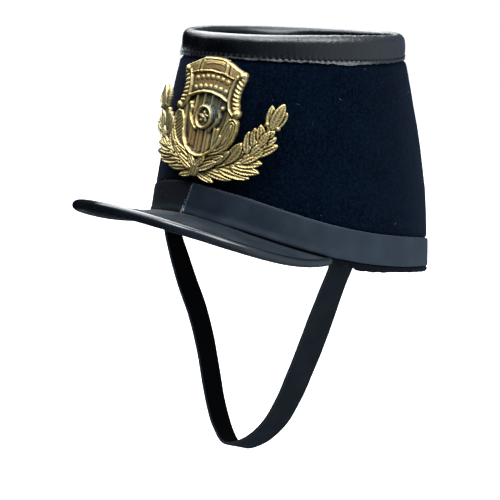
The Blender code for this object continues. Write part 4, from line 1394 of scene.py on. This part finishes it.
def leather_material(name, dark, light, scuffed, roughness, grain, marks, grain_depth, specular):
    """Leather: pebbled grain, slow changes of colour and shine, scuffs, and the marks it carries, painted
    shade among them.
    """
    nodes = new_material(name, Specular_IOR_Level=specular)
    slow = nodes.noise(16.0, 4.0)
    fine = nodes.noise(0.9, 5.0, 0.65)
    cell = nodes.add("TexVoronoi", {"Vector": nodes.place, "Scale": 1 / (grain * MM)},
                     feature="DISTANCE_TO_EDGE")
    pebble = nodes.ranged(cell.outputs["Distance"], 0.0, 0.30)
    scuffs = nodes.ranged(nodes.noise(2.6, 6.0, 0.72, 2.5), 0.68, 0.82, 0.0, 0.6)
    colour = nodes.mixed(nodes.ranged(slow, 0.38, 0.66), dark, light)
    colour = nodes.mixed(scuffs, colour, scuffed)
    shine = nodes.ranged(slow, 0.3, 0.7, roughness * 0.85, roughness * 1.2)
    shine = nodes.math("ADD", shine, nodes.ranged(fine, 0.4, 0.75, 0.0, 0.10))
    overlays = []
    if "raw" in marks:
        crumb = nodes.ranged(nodes.noise(1.0, 5.0, 0.75), 0.40, 0.66)
        overlays.append((nodes.mark("raw"), nodes.mixed(crumb, RAW_DARK, RAW_PALE)))
    if "scuffed" in marks:
        streaks = nodes.ranged(nodes.noise(1.1, 4.0, 0.7, 2.5), 0.47, 0.60)
        overlays.append((nodes.math("MULTIPLY", streaks, nodes.mark("scuffed")), RUBBED_PALE))
    # Painted shade on the band's right front: darker and browner
    if "brown" in marks:
        overlays.append((nodes.mark("brown"), BROWN_SHADE))
    # Painted shade in seams, grooves, slots and under the peak, which also takes the shine away there
    if "painted_shade" in marks:
        overlays.append((nodes.mark("painted_shade"), PAINTED_SHADE_BLACK))
    for share, over in overlays:
        colour = nodes.mixed(share, colour, over)
        if over is not BROWN_SHADE:
            shine = nodes.math("MAXIMUM", shine, share)
    return nodes.finish(colour, shine, ((slow, 0.25, 0.5), (pebble, 0.35 * grain_depth, 0.08),
                                        (fine, 0.5 * grain_depth, 0.14)))


def matt_black(name):
    """Black leather's flesh side and waxed thread: no shine."""
    nodes = new_material(name, Roughness=0.85, Specular_IOR_Level=0.02)
    fine = nodes.noise(0.8, 4.0, 0.65)
    return nodes.finish(nodes.mixed(fine, MATT_DARK, MATT_LIGHT), None, ((fine, 0.5, 0.1),))


def lint_material(name, dark, light):
    """Loose hairs, from dark to light."""
    nodes = new_material(name, Roughness=0.9, Specular_IOR_Level=0.1)
    return nodes.finish(nodes.mixed(nodes.ranged(nodes.noise(9.0, 3.0), 0.4, 0.6), dark, light))


def strap_material():
    """Strap leather: slate with burnished edges."""
    nodes = new_material("strap_leather", Specular_IOR_Level=0.12)
    slow = nodes.noise(14.0, 4.0)
    fine = nodes.noise(0.8, 4.0, 0.65)
    colour = nodes.mixed(nodes.ranged(slow, 0.35, 0.65), STRAP_DARK, STRAP_LIGHT)
    colour = nodes.mixed(nodes.mark("edge"), colour, STRAP_BURNISHED)
    shine = nodes.ranged(fine, 0.3, 0.7, 0.50, 0.66)
    return nodes.finish(colour, shine, ((slow, 0.2, 0.4), (fine, 0.4, 0.08)))


def brass_material():
    """Old cast brass: polished high places, brown and olive recesses, grey-green patina."""
    nodes = new_material("antique_brass", Metallic=1.0)
    slow = nodes.noise(9.0, 4.0)
    patches = nodes.noise(6.0, 3.0, 0.6)
    fine = nodes.noise(0.8, 5.0, 0.7)
    patina = nodes.mark("patina")
    high = nodes.ranged(nodes.mark("height_mark"), -0.55, 0.42)
    high = nodes.math("ADD", high, nodes.ranged(fine, 0.3, 0.7, -0.16, 0.16))
    bright = nodes.mixed(nodes.ranged(slow, 0.35, 0.65), *BRASS_BRIGHT)
    bright = nodes.mixed(patina, bright, PATINA_BRIGHT)
    middle = nodes.mixed(nodes.ranged(patches, 0.45, 0.60), *BRASS_MIDDLE)
    middle = nodes.mixed(patina, middle, PATINA_MIDDLE)
    middle = nodes.mixed(nodes.mark("copper"), middle, COPPER_MIDDLE)
    recess = nodes.mixed(nodes.ranged(patches, 0.42, 0.60), *BRASS_RECESS)
    recess = nodes.mixed(patina, recess, PATINA_RECESS)
    colour = nodes.mixed(nodes.ranged(high, 0.18, 0.50), recess, middle)
    colour = nodes.mixed(nodes.ranged(high, 0.46, 0.85), colour, bright)
    return nodes.finish(colour, nodes.ranged(high, 0.2, 0.9, 0.60, 0.50), ((fine, 0.35, 0.15),))


def floor_material():
    """Pale floor, so bright that it shows no edge against the surround."""
    nodes = new_material("pale_floor", Roughness=0.9, Specular_IOR_Level=0.1, Emission_Color=WHITE,
                         Emission_Strength=0.8)
    share = nodes.ranged(nodes.noise(300.0, 2.0), 0.3, 0.7)
    return nodes.finish(nodes.mixed(share, tuple(c * 0.98 for c in FLOOR_GREY), FLOOR_GREY))


# ---------------- studio

def stage_object(name, mesh, mat):
    """Object of the studio, which is no part of the hat."""
    mesh.materials.append(mat)
    staged = bpy.data.objects.new(name, mesh)
    bpy.context.scene.collection.objects.link(staged)
    return staged


def build_floor():
    """Floor that the hat's leather doesn't mirror."""
    half = FLOOR_SIZE / 2
    mesh = bpy.data.meshes.new("floor")
    corners = [(-half, -half), (half, -half), (half, half), (-half, half)]
    mesh.from_pydata([(x, y, FLOOR_HEIGHT) for x, y in corners], [], [(0, 1, 2, 3)])
    stage_object("floor", mesh, floor_material()).visible_glossy = False


def build_surround():
    """White surround that only the camera sees."""
    nodes = new_material("white_surround", Base_Color=BLACK, Emission_Strength=1.0, Emission_Color=WHITE)
    mesh = bpy.data.meshes.new("surround")
    bm = bmesh.new()
    bmesh.ops.create_uvsphere(bm, u_segments=32, v_segments=16, radius=SURROUND_RADIUS)
    bmesh.ops.reverse_faces(bm, faces=bm.faces)
    bm.to_mesh(mesh)
    bm.free()
    surround = stage_object("surround", mesh, nodes.owner)
    for ray in ("diffuse", "glossy", "transmission", "volume_scatter", "shadow"):
        setattr(surround, f"visible_{ray}", False)


def add_softbox(name, place, size, power):
    """Square lamp that faces the hat."""
    light = bpy.data.lights.new(name, "AREA")
    light.shape = "RECTANGLE"
    light.size = light.size_y = size
    light.energy = power
    light.color = SOFTBOX_COLOUR
    lamp = bpy.data.objects.new(name, light)
    lamp.location = place
    lamp.rotation_euler = (Vector(place) - Vector(SOFTBOX_TARGET)).to_track_quat("Z", "Y").to_euler()
    bpy.context.scene.collection.objects.link(lamp)


def set_world():
    """Sky: dim on the wearer's right and in front, pale on the left and behind, bright overhead."""
    world = bpy.data.worlds.new("soft_sky")
    bpy.context.scene.world = world
    nodes = Nodes(world, "Background", "Generated")
    facing = nodes.add("VectorMath", {0: nodes.place, 1: SKY_SIDE}, operation="DOT_PRODUCT")
    side = facing.outputs["Value"]
    tall = nodes.add("SeparateXYZ", {0: nodes.place}).outputs["Z"]
    level = nodes.mixed(nodes.ranged(side, -0.60, 0.05), SKY_DARK, SKY_BLUE)
    level = nodes.mixed(nodes.ranged(side, 0.42, 1.0), level, SKY_PALE)
    nodes.feed(nodes.shader.inputs["Color"], nodes.mixed(nodes.ranged(tall, 0.50, 0.92), level, SKY_TOP))


def place_camera():
    """Camera that sees the hat as the photo does."""
    azimuth, elevation, roll = CAMERA_AZIMUTH, CAMERA_ELEVATION, CAMERA_ROLL
    right = Vector((cos(azimuth), sin(azimuth), 0.0))
    back = Vector((sin(azimuth) * cos(elevation), -cos(azimuth) * cos(elevation), sin(elevation)))
    up = back.cross(right)
    rolled_right = right * cos(roll) - up * sin(roll)
    rolled_up = right * sin(roll) + up * cos(roll)
    data = bpy.data.cameras.new("photo_view")
    data.sensor_width = CAMERA_SENSOR
    data.lens = CAMERA_LENS
    data.clip_start = 0.01
    camera = bpy.data.objects.new("photo_view", data)
    rotation = Matrix((rolled_right, rolled_up, back)).transposed()
    camera.matrix_world = Matrix.Translation(CAMERA_PLACE) @ rotation.to_4x4()
    bpy.context.scene.collection.objects.link(camera)
    bpy.context.scene.camera = camera


def build_studio():
    """Floor, surround, sky, lamps and camera."""
    bpy.context.scene.view_settings.view_transform = "Standard"
    build_floor()
    build_surround()
    set_world()
    for name, place, size, power in SOFTBOXES:
        add_softbox(name, place, size, power)
    place_camera()


def main():
    """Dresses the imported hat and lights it."""
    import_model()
    glossy, bound, sheet, satin = (leather_material(*leather) for leather in LEATHERS)
    build_felt(felt_material())
    build_top_leather(glossy)
    build_rim(glossy)
    build_rim_stitches(matt_black("waxed_thread"))
    build_base_leather(satin)
    build_peak(sheet)
    build_bead(bound)
    build_strap(strap_material(), matt_black("strap_back"))
    build_badge(brass_material())
    for name, material, dark, light, *rest in FIBRES:
        build_fibres(name, lint_material(material, dark, light), *rest)
    build_studio()


main()
